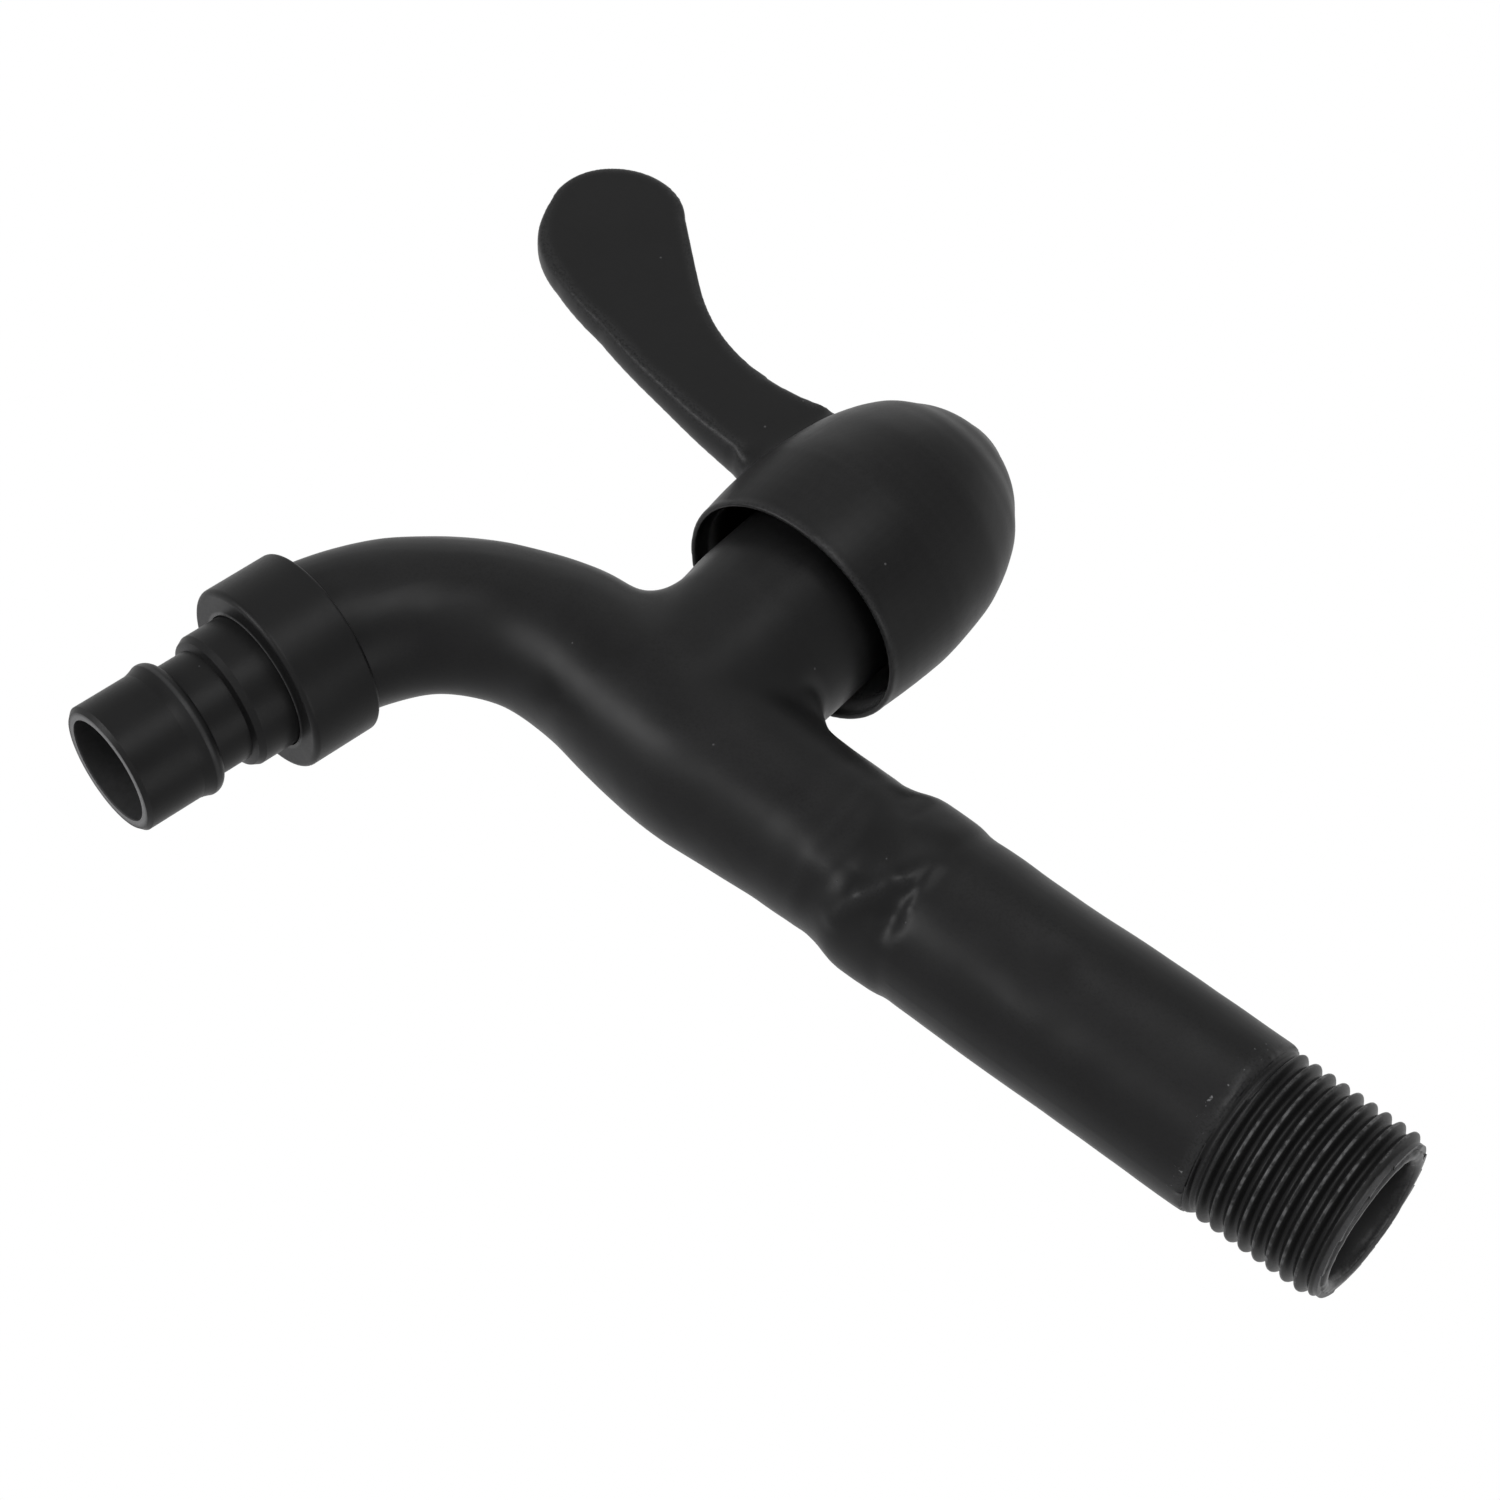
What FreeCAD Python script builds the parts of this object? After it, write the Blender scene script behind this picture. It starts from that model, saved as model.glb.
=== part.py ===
import FreeCAD, Part
import math
import os

import Sketcher
from FreeCAD import Placement, Rotation, Vector

# A bib tap for a washing machine.
# Frame: millimetres, +X from the inlet end towards the spout, +Z up the neck of the valve.
# The origin is the centre of the inlet's end face, on the axis of the inlet thread.

doc = FreeCAD.newDocument("washing_machine_tap")
sheet = doc.addObject("Spreadsheet::Sheet", "sizes")

# Sizes, one row each: name, value, what it is.
SIZES = [
    # Inlet thread, shank and hexagon
    ("thread_radius", 10.4, "major radius of the half inch pipe thread"),
    ("thread_length", 17.2, "threaded run from the inlet end"),
    ("thread_chamfer", 0.7, "lead chamfer at the inlet end"),
    ("inlet_bore", 7.55, "radius of the inlet bore"),
    ("bore_chamfer", 0.5, "chamfer at the mouth of the inlet bore"),
    ("inlet_bore_end", 86.0, "how far the inlet bore runs in"),
    ("drill_point", 3.8, "length of the cone at that bore's end"),
    ("shank_radius", 10.65, "outside of the round shank"),
    ("shank_end", 58.6, "where the shank stops at the hexagon"),
    ("shank_front_round", 0.15, "rounding of the shank's end at the thread"),
    ("shank_back_round", 0.7, "rounding of the shank's end at the hexagon"),
    ("root_radius", 9.75, "radius between shank, hexagon and chamber"),
    ("hex_start", 58.9, "near end of the spanner hexagon"),
    ("hex_length", 8.4, "length of the hexagon"),
    ("hex_flats", 21.8, "width across the hexagon's flats"),
    ("hex_round", 6.5, "rounding of the hexagon's corners"),
    ("hex_edge_round", 1.0, "rounding round the hexagon's ends"),
    # Chamber and neck
    ("neck_x", 99.6, "distance from the inlet end to the neck's axis"),
    ("waist_radius", 9.85, "body just past the hexagon"),
    ("waist_end", 75.0, "where the body starts to widen"),
    ("chamber_start", 84.0, "where the turned part meets the chamber's skin"),
    ("chamber_start_radius", 10.3, "body at that station"),
    ("chamber_middle", 90.0, "station where the chamber has its full radius"),
    ("chamber_radius", 10.85, "body at that station"),
    ("neck_radius", 11.9, "outside of the neck"),
    ("neck_top", 30.0, "height of the neck's top face"),
    ("neck_blend", 6.0, "blend between neck and body"),
    ("neck_root_height", 2.5, "height of the centre of the neck's ball shaped root"),
    ("chamber_bore", 9.6, "radius of the valve chamber"),
    ("neck_thread_bore", 10.48, "radius of the neck's threaded bore"),
    ("neck_thread_start", 15.0, "height where the threaded bore starts"),
    ("seat_bore", 5.0, "radius of the hole through the valve seat"),
    ("seat_height", 0.0, "height of the valve seat"),
    ("port_height", 4.4, "how far the port under the seat lies below the axis"),
    ("port_radius", 3.8, "radius of the port under the seat"),
    ("port_reach", 4.6, "how far that port runs past the neck's axis"),
    ("port_overlap", 2.0, "how far that port starts inside the inlet bore"),
    # Spout
    ("spout_rise", 1.5, "height of the spout's level run over the inlet axis"),
    ("spout_root", 0.4, "station where the spout leaves the chamber, past the neck's axis"),
    ("spout_root_rise", 0.5, "height of the spout's centre at that station"),
    ("spout_root_radius", 10.9, "skin at that station"),
    ("bend_start", 113.1, "where the spout starts to bend down"),
    ("bend_radius", 26.0, "radius of the bend's centre line"),
    ("bend_turn", 81.6, "how far the bend turns, in degrees"),
    ("spout_radius_one", 10.0, "spout at the start of the bend"),
    ("spout_radius_two", 9.35, "spout a quarter of the way round"),
    ("spout_radius_three", 9.2, "spout half of the way round"),
    ("spout_radius_four", 9.6, "spout three quarters round"),
    ("spout_radius_five", 9.8, "spout at the end of the bend"),
    ("spout_bore", 6.0, "radius of the water way in the spout"),
    ("way_overlap", 1.0, "how far that water way runs into the chamber"),
    ("boss_play", 0.1, "play between the outlet boss and the collar's bore"),
    ("boss_length", 2.6, "length of the outlet boss below the bend"),
    # Outlet collar, washer and nozzle, measured up from the nozzle's tip
    ("nozzle_reach", 26.9, "from the bend's end to the nozzle's tip"),
    ("nozzle_tip_radius", 8.2, "outside of the nozzle at its tip"),
    ("nozzle_bore", 6.7, "radius of the nozzle's bore"),
    ("nozzle_tip_chamfer", 0.5, "broken edge at the nozzle's tip"),
    ("barb_start", 7.6, "height where the tip starts to swell"),
    ("barb_top", 9.6, "height of the swell's crest"),
    ("barb_radius", 8.65, "radius of the swell's crest"),
    ("barb_end", 10.7, "height where the swell ends"),
    ("barb_lead_curve", 6.0, "curve that leads up to the crest"),
    ("barb_crest", 0.5, "how far under its top the crest starts"),
    ("barb_curve", 1.4, "curve over the crest"),
    ("barb_drop", 0.3, "height of the swell's back"),
    ("groove_radius", 7.25, "radius between the two steps"),
    ("step_start", 15.0, "height where the second step starts"),
    ("step_foot", 0.3, "height over which the step rises to the tip's radius"),
    ("step_lead", 1.1, "height over which it rises to its own radius"),
    ("step_radius", 8.6, "radius of the second step"),
    ("flange_start", 22.0, "underside of the nozzle's flange"),
    ("flange_thickness", 1.2, "thickness of that flange"),
    ("flange_step", 0.4, "how far that flange stands out from the step"),
    ("washer_gap", 0.02, "play on each face of a washer"),
    ("collar_start", 20.7, "lower face of the collar"),
    ("collar_end", 30.0, "upper face of the collar"),
    ("collar_wall", 2.6, "wall of the collar around its threaded bore"),
    ("collar_front_round", 0.7, "rounding of the collar's lower edge"),
    ("collar_back_round", 0.4, "rounding of the collar's upper edge"),
    ("lip_play", 0.15, "play between the step and the hole in the collar's lower face"),
    ("flange_play", 0.3, "play around the flange in the collar's threaded bore"),
    ("entry_play", 0.9, "play around the spout in the collar's plain entry"),
    ("collar_entry_start", 26.6, "height where that entry starts"),
    # Cartridge, heights over the inlet axis
    ("cage_radius", 8.9, "outside of the bonnet's cage"),
    ("cage_bore", 8.15, "inside of the bonnet's cage"),
    ("cage_start", 1.6, "lower end of the cage"),
    ("shoulder_height", 12.0, "underside of the bonnet's inner shoulder"),
    ("window_start", 5.3, "lower edge of the cage's windows"),
    ("window_height", 4.6, "height of the windows"),
    ("window_width", 11.0, "width of the windows"),
    ("bonnet_thread", 10.4, "outside of the bonnet's thread"),
    ("bonnet_thread_start", 15.6, "lower end of that thread"),
    ("gasket_thickness", 0.6, "thickness of the bonnet's gasket"),
    ("gasket_bore", 10.6, "inside of the bonnet's gasket"),
    ("gasket_inset", 0.2, "how far the gasket lies inside the neck's edge"),
    ("flange_flats", 22.0, "across the flats of the bonnet's hexagon"),
    ("flange_height", 4.0, "height of the bonnet's hexagon"),
    ("flange_overlap", 0.5, "how far the hexagon's inside runs into the sleeve"),
    ("sleeve_radius", 8.2, "outside of the bonnet's upper sleeve"),
    ("sleeve_top", 36.5, "height of the sleeve's top"),
    ("stop_inner", 6.6, "inside of the stop wall"),
    ("stop_top", 39.2, "height of the stop wall"),
    ("stop_gap_side", 3.0, "half the lug's width plus its play"),
    ("spindle_bore", 5.0, "bore that the spindle turns in"),
    ("spindle_play", 0.05, "play of the spindle in its bore"),
    ("foot_radius", 7.8, "radius of the spindle's foot"),
    ("foot_start", 8.05, "underside of the spindle's foot"),
    ("foot_top", 11.0, "top of the spindle's foot"),
    ("key_width", 2.8, "width of the key under the foot"),
    ("key_length", 12.0, "length of that key"),
    ("key_depth", 1.0, "depth of that key"),
    ("ring_groove_radius", 3.9, "radius at the O-ring grooves"),
    ("ring_groove_width", 1.9, "width of an O-ring groove"),
    ("ring_groove_one", 18.0, "height of the lower groove"),
    ("ring_groove_two", 24.0, "height of the upper groove"),
    ("ring_section", 0.56, "radius of an O-ring's section"),
    ("clip_groove_radius", 4.1, "radius at the circlip's groove"),
    ("clip_start", 36.55, "underside of the circlip"),
    ("clip_thickness", 0.8, "thickness of the circlip"),
    ("clip_radius", 6.2, "outside of the circlip"),
    ("clip_gap", 3.4, "opening of the circlip"),
    ("lug_start", 37.7, "underside of the stop lug"),
    ("lug_top", 39.1, "top of the stop lug"),
    ("lug_reach", 7.9, "how far the lug reaches out"),
    ("lug_width", 5.6, "width of the lug"),
    ("tooth_radius", 3.9, "tip radius of the spindle's teeth"),
    ("tooth_depth", 0.45, "depth of the teeth"),
    ("tooth_count", 20.0, "number of teeth"),
    ("tooth_space", 0.86, "width of a tooth space at the tips"),
    ("tooth_foot", 0.6, "plain length under the teeth"),
    ("spindle_chamfer", 0.5, "chamfer at the spindle's top"),
    ("tap_hole", 2.0, "radius of the screw hole in the spindle"),
    ("tap_hole_bottom", 34.0, "bottom of the screw hole"),
    ("disc_radius", 8.0, "radius of both ceramic discs"),
    ("fixed_disc_start", 2.0, "underside of the fixed disc"),
    ("disc_thickness", 3.0, "thickness of a ceramic disc"),
    ("disc_play", 0.01, "film between the discs"),
    ("disc_hole", 2.6, "radius of a water hole in a disc"),
    ("disc_hole_offset", 4.4, "distance of that hole from the axis"),
    ("slot_play", 0.1, "play of the key in its slot"),
    ("seal_inner", 5.4, "inside of the seat seal"),
    ("seal_outer", 8.6, "outside of the seat seal"),
    ("seal_play", 0.03, "play over and under the seat seal"),
    ("seal_side_play", 0.05, "play between seat seal and cage"),
    ("slip_inner", 5.2, "inside of the slip washer"),
    # Handle
    ("rim_height", 22.8, "height of the dome's rim"),
    ("rim_radius", 15.6, "outside of the rim"),
    ("belly_height", 33.5, "height of the dome's widest place"),
    ("belly_radius", 16.35, "radius there"),
    ("lower_curve", 88.4, "curve from the rim to the belly"),
    ("upper_curve", 38.6, "curve above the belly"),
    ("shoulder_r", 13.3, "end of that curve, out from the axis"),
    ("shoulder_z", 47.8, "end of that curve, height"),
    ("crown_curve", 20.0, "next curve"),
    ("crown_r", 9.7, "end of the next curve, out from the axis"),
    ("apex_curve", 13.2, "curve over the apex"),
    ("apex_height", 58.2, "top of the dome"),
    ("dome_wall", 1.3, "wall of the dome"),
    ("crown_depth", 11.8, "depth of the solid crown over the cavity's roof"),
    ("roof_corner", 0.11, "how much thinner the wall is at the roof's corner"),
    ("boss_outer", 6.2, "outside of the handle's boss"),
    ("boss_bottom", 39.9, "underside of that boss"),
    ("socket_radius", 3.95, "radius of the toothed socket"),
    ("socket_play", 0.8, "gap between the spindle's top and the socket's roof"),
    ("socket_roof", 2.6, "thickness between the socket and the hole above it"),
    ("screw_hole", 2.2, "radius of the hole for the screw"),
    ("counterbore_radius", 4.5, "radius of the hole for the screw's head"),
    ("counterbore_depth", 7.4, "depth of that hole under the apex"),
    # Handle screw, washer and plug
    ("screw_radius", 1.95, "outside of the screw's thread"),
    ("screw_end", 36.0, "lower end of the screw"),
    ("screw_point", 0.5, "chamfer at that end"),
    ("split_thickness", 0.9, "thickness of the split washer"),
    ("split_radius", 3.6, "outside of the split washer"),
    ("split_bore", 2.1, "inside of the split washer"),
    ("split_gap", 0.9, "opening of the split washer"),
    ("head_radius", 3.6, "radius of the screw's head"),
    ("head_height", 2.4, "height of the screw's head"),
    ("head_edge", 0.8, "width and height of the head's rounded edge"),
    ("head_round", 1.2, "radius of that edge"),
    ("recess_width", 1.0, "width of the cross recess"),
    ("recess_length", 4.6, "length of the cross recess"),
    ("recess_depth", 1.3, "depth of the cross recess"),
    ("plug_radius", 4.46, "radius of the plug"),
    ("plug_thickness", 2.75, "thickness of the plug at its middle"),
    ("plug_sink", 0.05, "how far the plug's top lies under the apex"),
    # Lever fin, distances out from the neck's axis and heights
    ("fin_thickness", 6.4, "thickness inside the dome"),
    ("fin_tip_thickness", 3.2, "thickness where the taper ends"),
    ("fin_taper_run", 10.0, "how far past the nose the taper would end"),
    ("fin_root", 9.0, "where the fin starts, inside the dome"),
    ("fin_root_top", 53.2, "its upper corner there"),
    ("fin_root_bottom", 31.0, "its lower corner there"),
    ("fin_top_join", 11.0, "upper edge leaves the dome, distance"),
    ("fin_top_join_z", 51.9, "upper edge leaves the dome, height"),
    ("fin_neck_curve", 27.8, "hollow curve of the upper edge"),
    ("fin_rise_start", 43.0, "end of the hollow curve, distance"),
    ("fin_rise_start_z", 55.1, "end of the hollow curve, height"),
    ("fin_rise_end", 52.6, "end of the straight rise, distance"),
    ("fin_rise_end_z", 63.2, "end of the straight rise, height"),
    ("fin_crest_curve", 9.1, "curve over the paddle's crest"),
    ("fin_crest_end", 65.7, "end of the crest, distance"),
    ("fin_crest_end_z", 64.1, "end of the crest, height"),
    ("fin_nose_curve", 8.0, "curve round the paddle's nose"),
    ("fin_nose_end", 67.8, "end of the nose, distance"),
    ("fin_nose_end_z", 54.4, "end of the nose, height"),
    ("fin_chin_curve", 14.5, "curve under the nose"),
    ("fin_chin_end", 57.5, "end of that curve, distance"),
    ("fin_chin_end_z", 44.4, "end of that curve, height"),
    ("fin_belly_curve", 30.0, "slight curve under the paddle"),
    ("fin_belly_end", 48.0, "end of that curve, distance"),
    ("fin_belly_end_z", 42.3, "end of that curve, height"),
    ("fin_heel_start", 22.5, "lower edge starts to turn down, distance"),
    ("fin_heel_start_z", 37.1, "lower edge starts to turn down, height"),
    ("fin_heel_curve", 9.0, "curve from the lower edge into the dome"),
    ("fin_heel_end", 15.4, "end of that curve, distance"),
    ("fin_heel_end_z", 32.3, "end of that curve, height"),
    ("fin_edge_break", 0.35, "broken edge all round the fin"),
    # Help for the outlines
    ("overshoot", 1.0, "how far a cutting outline runs past the face that it opens"),
    ("axis_mark", 10.0, "length of a line that marks an axis"),
]
NEAR = 0.01  # how near counts as touching when an edge is picked


def fill_sheet():
    for row, (name, number, note) in enumerate(SIZES, start=1):
        sheet.set("A%d" % row, name)
        sheet.set("B%d" % row, str(number))
        sheet.setAlias("B%d" % row, name)
        sheet.set("C%d" % row, note)
    doc.recompute()


def size(expression):
    """The number that an expression over the sheet's names gives now."""
    result = sheet.evalExpression(expression)
    return float(getattr(result, "Value", result))


def linked(expression):
    """The same expression as another object writes it, with the sheet named."""
    words = []
    word = ""
    known = {name for name, number, note in SIZES}
    for letter in expression + " ":
        if letter.isalnum() or letter == "_":
            word += letter
            continue
        words.append("sizes." + word if word in known else word)
        words.append(letter)
        word = ""
    return "".join(words).strip()


def new_body(label):
    body = doc.addObject("PartDesign::Body", label)
    body.Label = label
    return body


def on_axis(body, x="0", z="0", turn=None):
    """Puts a body's own origin at x, z of the tap's frame, turned about the Y axis."""
    body.Placement = Placement(Vector(size(x), 0, size(z)),
                               Rotation(Vector(0, 1, 0), size(turn) if turn else 0))
    body.setExpression("Placement.Base.x", linked(x))
    body.setExpression("Placement.Base.z", linked(z))
    if turn:
        body.setExpression("Placement.Rotation.Angle", linked(turn))


def origin_feature(body, role):
    """One of the body's own origin planes or axes."""
    for feature in body.Origin.OriginFeatures:
        if feature.Role == role:
            return feature
    raise RuntimeError("no origin feature " + role)


def new_sketch(body, role, name, offset="0"):
    sketch = body.newObject("Sketcher::SketchObject", name)
    sketch.AttachmentSupport = [(origin_feature(body, role), "")]
    sketch.MapMode = "FlatFace"
    if offset != "0":
        sketch.AttachmentOffset = Placement(Vector(0, 0, size(offset)), Rotation())
        sketch.setExpression("AttachmentOffset.Base.z", linked(offset))
    return sketch


def arc_between(start, end, radius, left):
    """The short arc of that radius from start to end, bulging left or right of the way."""
    chord = end - start
    half = chord.Length / 2
    side = Vector(-chord.y, chord.x, 0).normalize() * (1 if left else -1)
    sagitta = radius - math.sqrt(max(radius * radius - half * half, 0))
    middle = (start + end) * 0.5 + side * sagitta
    return Part.ArcOfCircle(start, middle, end)


def fix_point(sketch, rules, item, place, expressions):
    """Constraints that hold one point at its two expressions."""
    for kind, axis, expression in (("DistanceX", -2, expressions[0]),
                                   ("DistanceY", -1, expressions[1])):
        if expression == "0":
            rules.append((Sketcher.Constraint("PointOnObject", item, place, axis), None))
        else:
            rule = Sketcher.Constraint(kind, -1, 1, item, place, size(expression))
            rules.append((rule, expression))


def draw(sketch, points):
    """A closed outline. Each point is x, y and, for an arc to the next, radius and side."""
    first = sketch.GeometryCount
    corners = [Vector(size(point[0]), size(point[1]), 0) for point in points]
    rules = []
    for index, point in enumerate(points):
        start = corners[index]
        end = corners[(index + 1) % len(points)]
        if len(point) == 2:
            sketch.addGeometry(Part.LineSegment(start, end), False)
        else:
            sketch.addGeometry(arc_between(start, end, size(point[2]), point[3] == "left"), False)
    ends = []
    for index in range(len(points)):
        forward = (sketch.getPoint(first + index, 1) - corners[index]).Length < 1e-4
        ends.append((1, 2) if forward else (2, 1))
    for index, point in enumerate(points):
        item = first + index
        after = (index + 1) % len(points)
        rules.append((Sketcher.Constraint("Coincident", item, ends[index][1],
                                          first + after, ends[after][0]), None))
        fix_point(sketch, rules, item, ends[index][0], point[:2])
        if len(point) > 2:
            radius = Sketcher.Constraint("Radius", item, size(point[2]))
            rules.append((radius, point[2]))
    apply_rules(sketch, rules)


def draw_circle(sketch, x, y, radius):
    item = sketch.addGeometry(Part.Circle(Vector(size(x), size(y), 0), Vector(0, 0, 1),
                                          size(radius)), False)
    rules = [(Sketcher.Constraint("Radius", item, size(radius)), radius)]
    fix_point(sketch, rules, item, 3, (x, y))
    apply_rules(sketch, rules)


def apply_rules(sketch, rules):
    for rule, expression in rules:
        number = sketch.addConstraint(rule)
        if expression:
            sketch.setExpression("Constraints[%d]" % number, linked(expression))


def turned(body, points, name="Turning", axis="V_Axis", cut=False):
    """A solid of revolution, or a cut of that form, from an outline on the XZ plane."""
    sketch = new_sketch(body, "XZ_Plane", name + "Outline")
    draw(sketch, points)
    return revolve(body, sketch, name, axis, cut)


def revolve(body, sketch, name, axis="V_Axis", cut=False):
    kind = "PartDesign::Groove" if cut else "PartDesign::Revolution"
    feature = body.newObject(kind, name)
    feature.Profile = sketch
    feature.ReferenceAxis = (sketch, [axis])
    feature.Angle = 360
    doc.recompute()
    return feature


def pad(body, sketch, name, length, both_ways=False):
    feature = body.newObject("PartDesign::Pad", name)
    feature.Profile = sketch
    feature.setExpression("Length", linked(length))
    feature.Midplane = both_ways
    doc.recompute()
    return feature


def pocket(body, sketch, name, depth, reverse=False, both_ways=False):
    """A pocket that must take something away."""
    before = body.Shape.Volume
    feature = body.newObject("PartDesign::Pocket", name)
    feature.Profile = sketch
    feature.setExpression("Length", linked(depth))
    feature.Midplane = both_ways
    feature.Reversed = reverse
    doc.recompute()
    if body.Shape.Volume > before - 0.01:
        raise RuntimeError(name + " takes nothing away")
    return feature


def rectangle(x, y, half_width, half_height):
    left = "%s - (%s)" % (x, half_width)
    right = "%s + (%s)" % (x, half_width)
    low = "%s - (%s)" % (y, half_height)
    high = "%s + (%s)" % (y, half_height)
    return [(left, low), (right, low), (right, high), (left, high)]


def hexagon(flats):
    """Corners of a hexagon with flats facing sideways."""
    corner = "%s / 2 / cos(30 deg)" % flats
    return [("%s * cos(%d deg)" % (corner, angle), "%s * sin(%d deg)" % (corner, angle))
            for angle in (30, 90, 150, 210, 270, 330)]


def edges_where(shape, test):
    return ["Edge%d" % (index + 1) for index, edge in enumerate(shape.Edges) if test(edge)]


def fillet(body, name, test, radius, chamfer=False):
    """Rounds or chamfers the edges of the body that pass the test."""
    base = body.Tip
    names = edges_where(base.Shape, test)
    if not names:
        raise RuntimeError(name + " finds no edge")
    kind = "PartDesign::Chamfer" if chamfer else "PartDesign::Fillet"
    feature = body.newObject(kind, name)
    feature.Base = (base, names)
    feature.setExpression("Size" if chamfer else "Radius", linked(radius))
    doc.recompute()
    return feature


def ring_at(axis, position, radius, slack=0.02):
    """A test for a circular edge about the body's own axis, at a height and a radius."""
    def test(edge):
        curve = edge.Curve
        if not isinstance(curve, Part.Circle):
            return False
        centre = getattr(curve.Center, axis)
        return abs(centre - position) < slack and abs(curve.Radius - radius) < slack
    return test


# The tap body: one casting with a turned shank, a hexagon, a chamber, a neck and a bent spout.

def body_core(body):
    """Thread, shank and waist, turned about the inlet axis."""
    turned(body, [
        ("0", "0"),
        ("0", "thread_radius - thread_chamfer"),
        ("thread_chamfer", "thread_radius"),
        ("thread_length", "thread_radius"),
        ("thread_length", "shank_radius"),
        ("shank_end", "shank_radius"),
        ("shank_end", "root_radius"),
        ("waist_end", "waist_radius"),
        ("chamber_start", "chamber_start_radius"),
        ("chamber_start", "0"),
    ], "Core", "H_Axis")
    fillet(body, "ShankFront", ring_at("x", size("thread_length"), size("shank_radius")),
           "shank_front_round")
    fillet(body, "ShankBack", ring_at("x", size("shank_end"), size("shank_radius")),
           "shank_back_round")


def body_hexagon(body):
    sketch = new_sketch(body, "YZ_Plane", "HexagonOutline", "hex_start")
    draw(sketch, hexagon("hex_flats"))
    pad(body, sketch, "Hexagon", "hex_length")
    start = size("hex_start")
    end = start + size("hex_length")

    def along(edge):
        box = edge.BoundBox
        return abs(box.XMin - start) < NEAR and abs(box.XMax - end) < NEAR and box.YLength < NEAR
    fillet(body, "HexagonCorners", along, "hex_round")

    def round_the_end(edge):
        box = edge.BoundBox
        flat = box.XLength < NEAR
        at_end = abs(box.XMin - start) < NEAR or abs(box.XMin - end) < NEAR
        corner = isinstance(edge.Curve, Part.Circle) and edge.Curve.Radius < size("root_radius")
        return flat and at_end and (corner or isinstance(edge.Curve, Part.Line))
    fillet(body, "HexagonEnds", round_the_end, "hex_edge_round")


def spout_section(body, name, x, z, turn, radius):
    """A round section of the spout, square to its centre line."""
    sketch = body.newObject("Sketcher::SketchObject", name)
    sketch.AttachmentSupport = [(origin_feature(body, "YZ_Plane"), "")]
    sketch.MapMode = "FlatFace"
    sketch.AttachmentOffset = Placement(Vector(0, size(z), size(x)),
                                        Rotation(Vector(1, 0, 0), size(turn)))
    sketch.setExpression("AttachmentOffset.Base.z", linked(x))
    sketch.setExpression("AttachmentOffset.Base.y", linked(z))
    sketch.setExpression("AttachmentOffset.Rotation.Angle", linked(turn))
    draw_circle(sketch, "0", "0", radius)
    return sketch


def bend_place(share):
    """Station on the spout's centre line after a share of the bend, as expressions."""
    turn = "bend_turn * %s" % share
    x = "bend_start + bend_radius * sin(%s * 1 deg)" % turn
    z = "spout_rise - bend_radius * (1 - cos(%s * 1 deg))" % turn
    return x, z, turn


def spout_radii():
    """Nine radii round the bend: the five named ones, and the mean of each two neighbours."""
    named = ["spout_radius_one", "spout_radius_two", "spout_radius_three",
             "spout_radius_four", "spout_radius_five"]
    radii = named[:1]
    for before, after in zip(named, named[1:]):
        radii.append("(%s + %s) / 2" % (before, after))
        radii.append(after)
    return radii


def body_spout(body):
    """Chamber and spout in one smooth skin through round sections."""
    sections = [
        spout_section(body, "ChamberStart", "chamber_start", "0", "0", "chamber_start_radius"),
        spout_section(body, "ChamberMiddle", "chamber_middle", "0", "0", "chamber_radius"),
        spout_section(body, "SpoutRoot", "neck_x + spout_root", "spout_root_rise", "0",
                      "spout_root_radius"),
    ]
    for index, radius in enumerate(spout_radii()):
        x, z, turn = bend_place("%g" % (index / 8))
        sections.append(spout_section(body, "SpoutSection%d" % index, x, z, turn, radius))
    loft = body.newObject("PartDesign::AdditiveLoft", "Spout")
    loft.Profile = sections[0]
    loft.Sections = sections[1:]
    loft.Ruled = False
    doc.recompute()


def body_boss(body):
    x, z, turn = bend_place("1")
    boss = spout_section(body, "OutletBossOutline", x, z, turn, collar_bore() + " - boss_play")
    pad(body, boss, "OutletBoss", "boss_length")


def body_neck(body):
    """A round neck with a ball shaped root, blended into the chamber and the spout."""
    sketch = new_sketch(body, "XZ_Plane", "NeckOutline")
    draw(sketch, [
        ("neck_x", "neck_root_height - neck_radius", "neck_radius", "right"),
        ("neck_x + neck_radius", "neck_root_height"),
        ("neck_x + neck_radius", "neck_top"),
        ("neck_x", "neck_top"),
    ])
    spin_line(sketch, ("neck_x", "0"), ("neck_x", "axis_mark"))
    revolve(body, sketch, "Neck", "Axis0")
    middle = size("neck_x")
    radius = size("neck_radius")
    root = size("neck_root_height")

    def on_neck(point):
        out = math.hypot(point.x - middle, point.y)
        if point.z < root:
            out = math.hypot(out, point.z - root)
        return abs(out - radius) < NEAR * 5

    def where_neck_meets(edge):
        points = edge.discretize(9)
        seam = all(abs(point.y) < NEAR for point in points)
        level = all(abs(point.z - root) < NEAR for point in points)
        low = max(point.z for point in points) < size("neck_top") - size("overshoot")
        return low and not seam and not level and all(on_neck(point) for point in points)
    fillet(body, "NeckBlend", where_neck_meets, "neck_blend")


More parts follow.
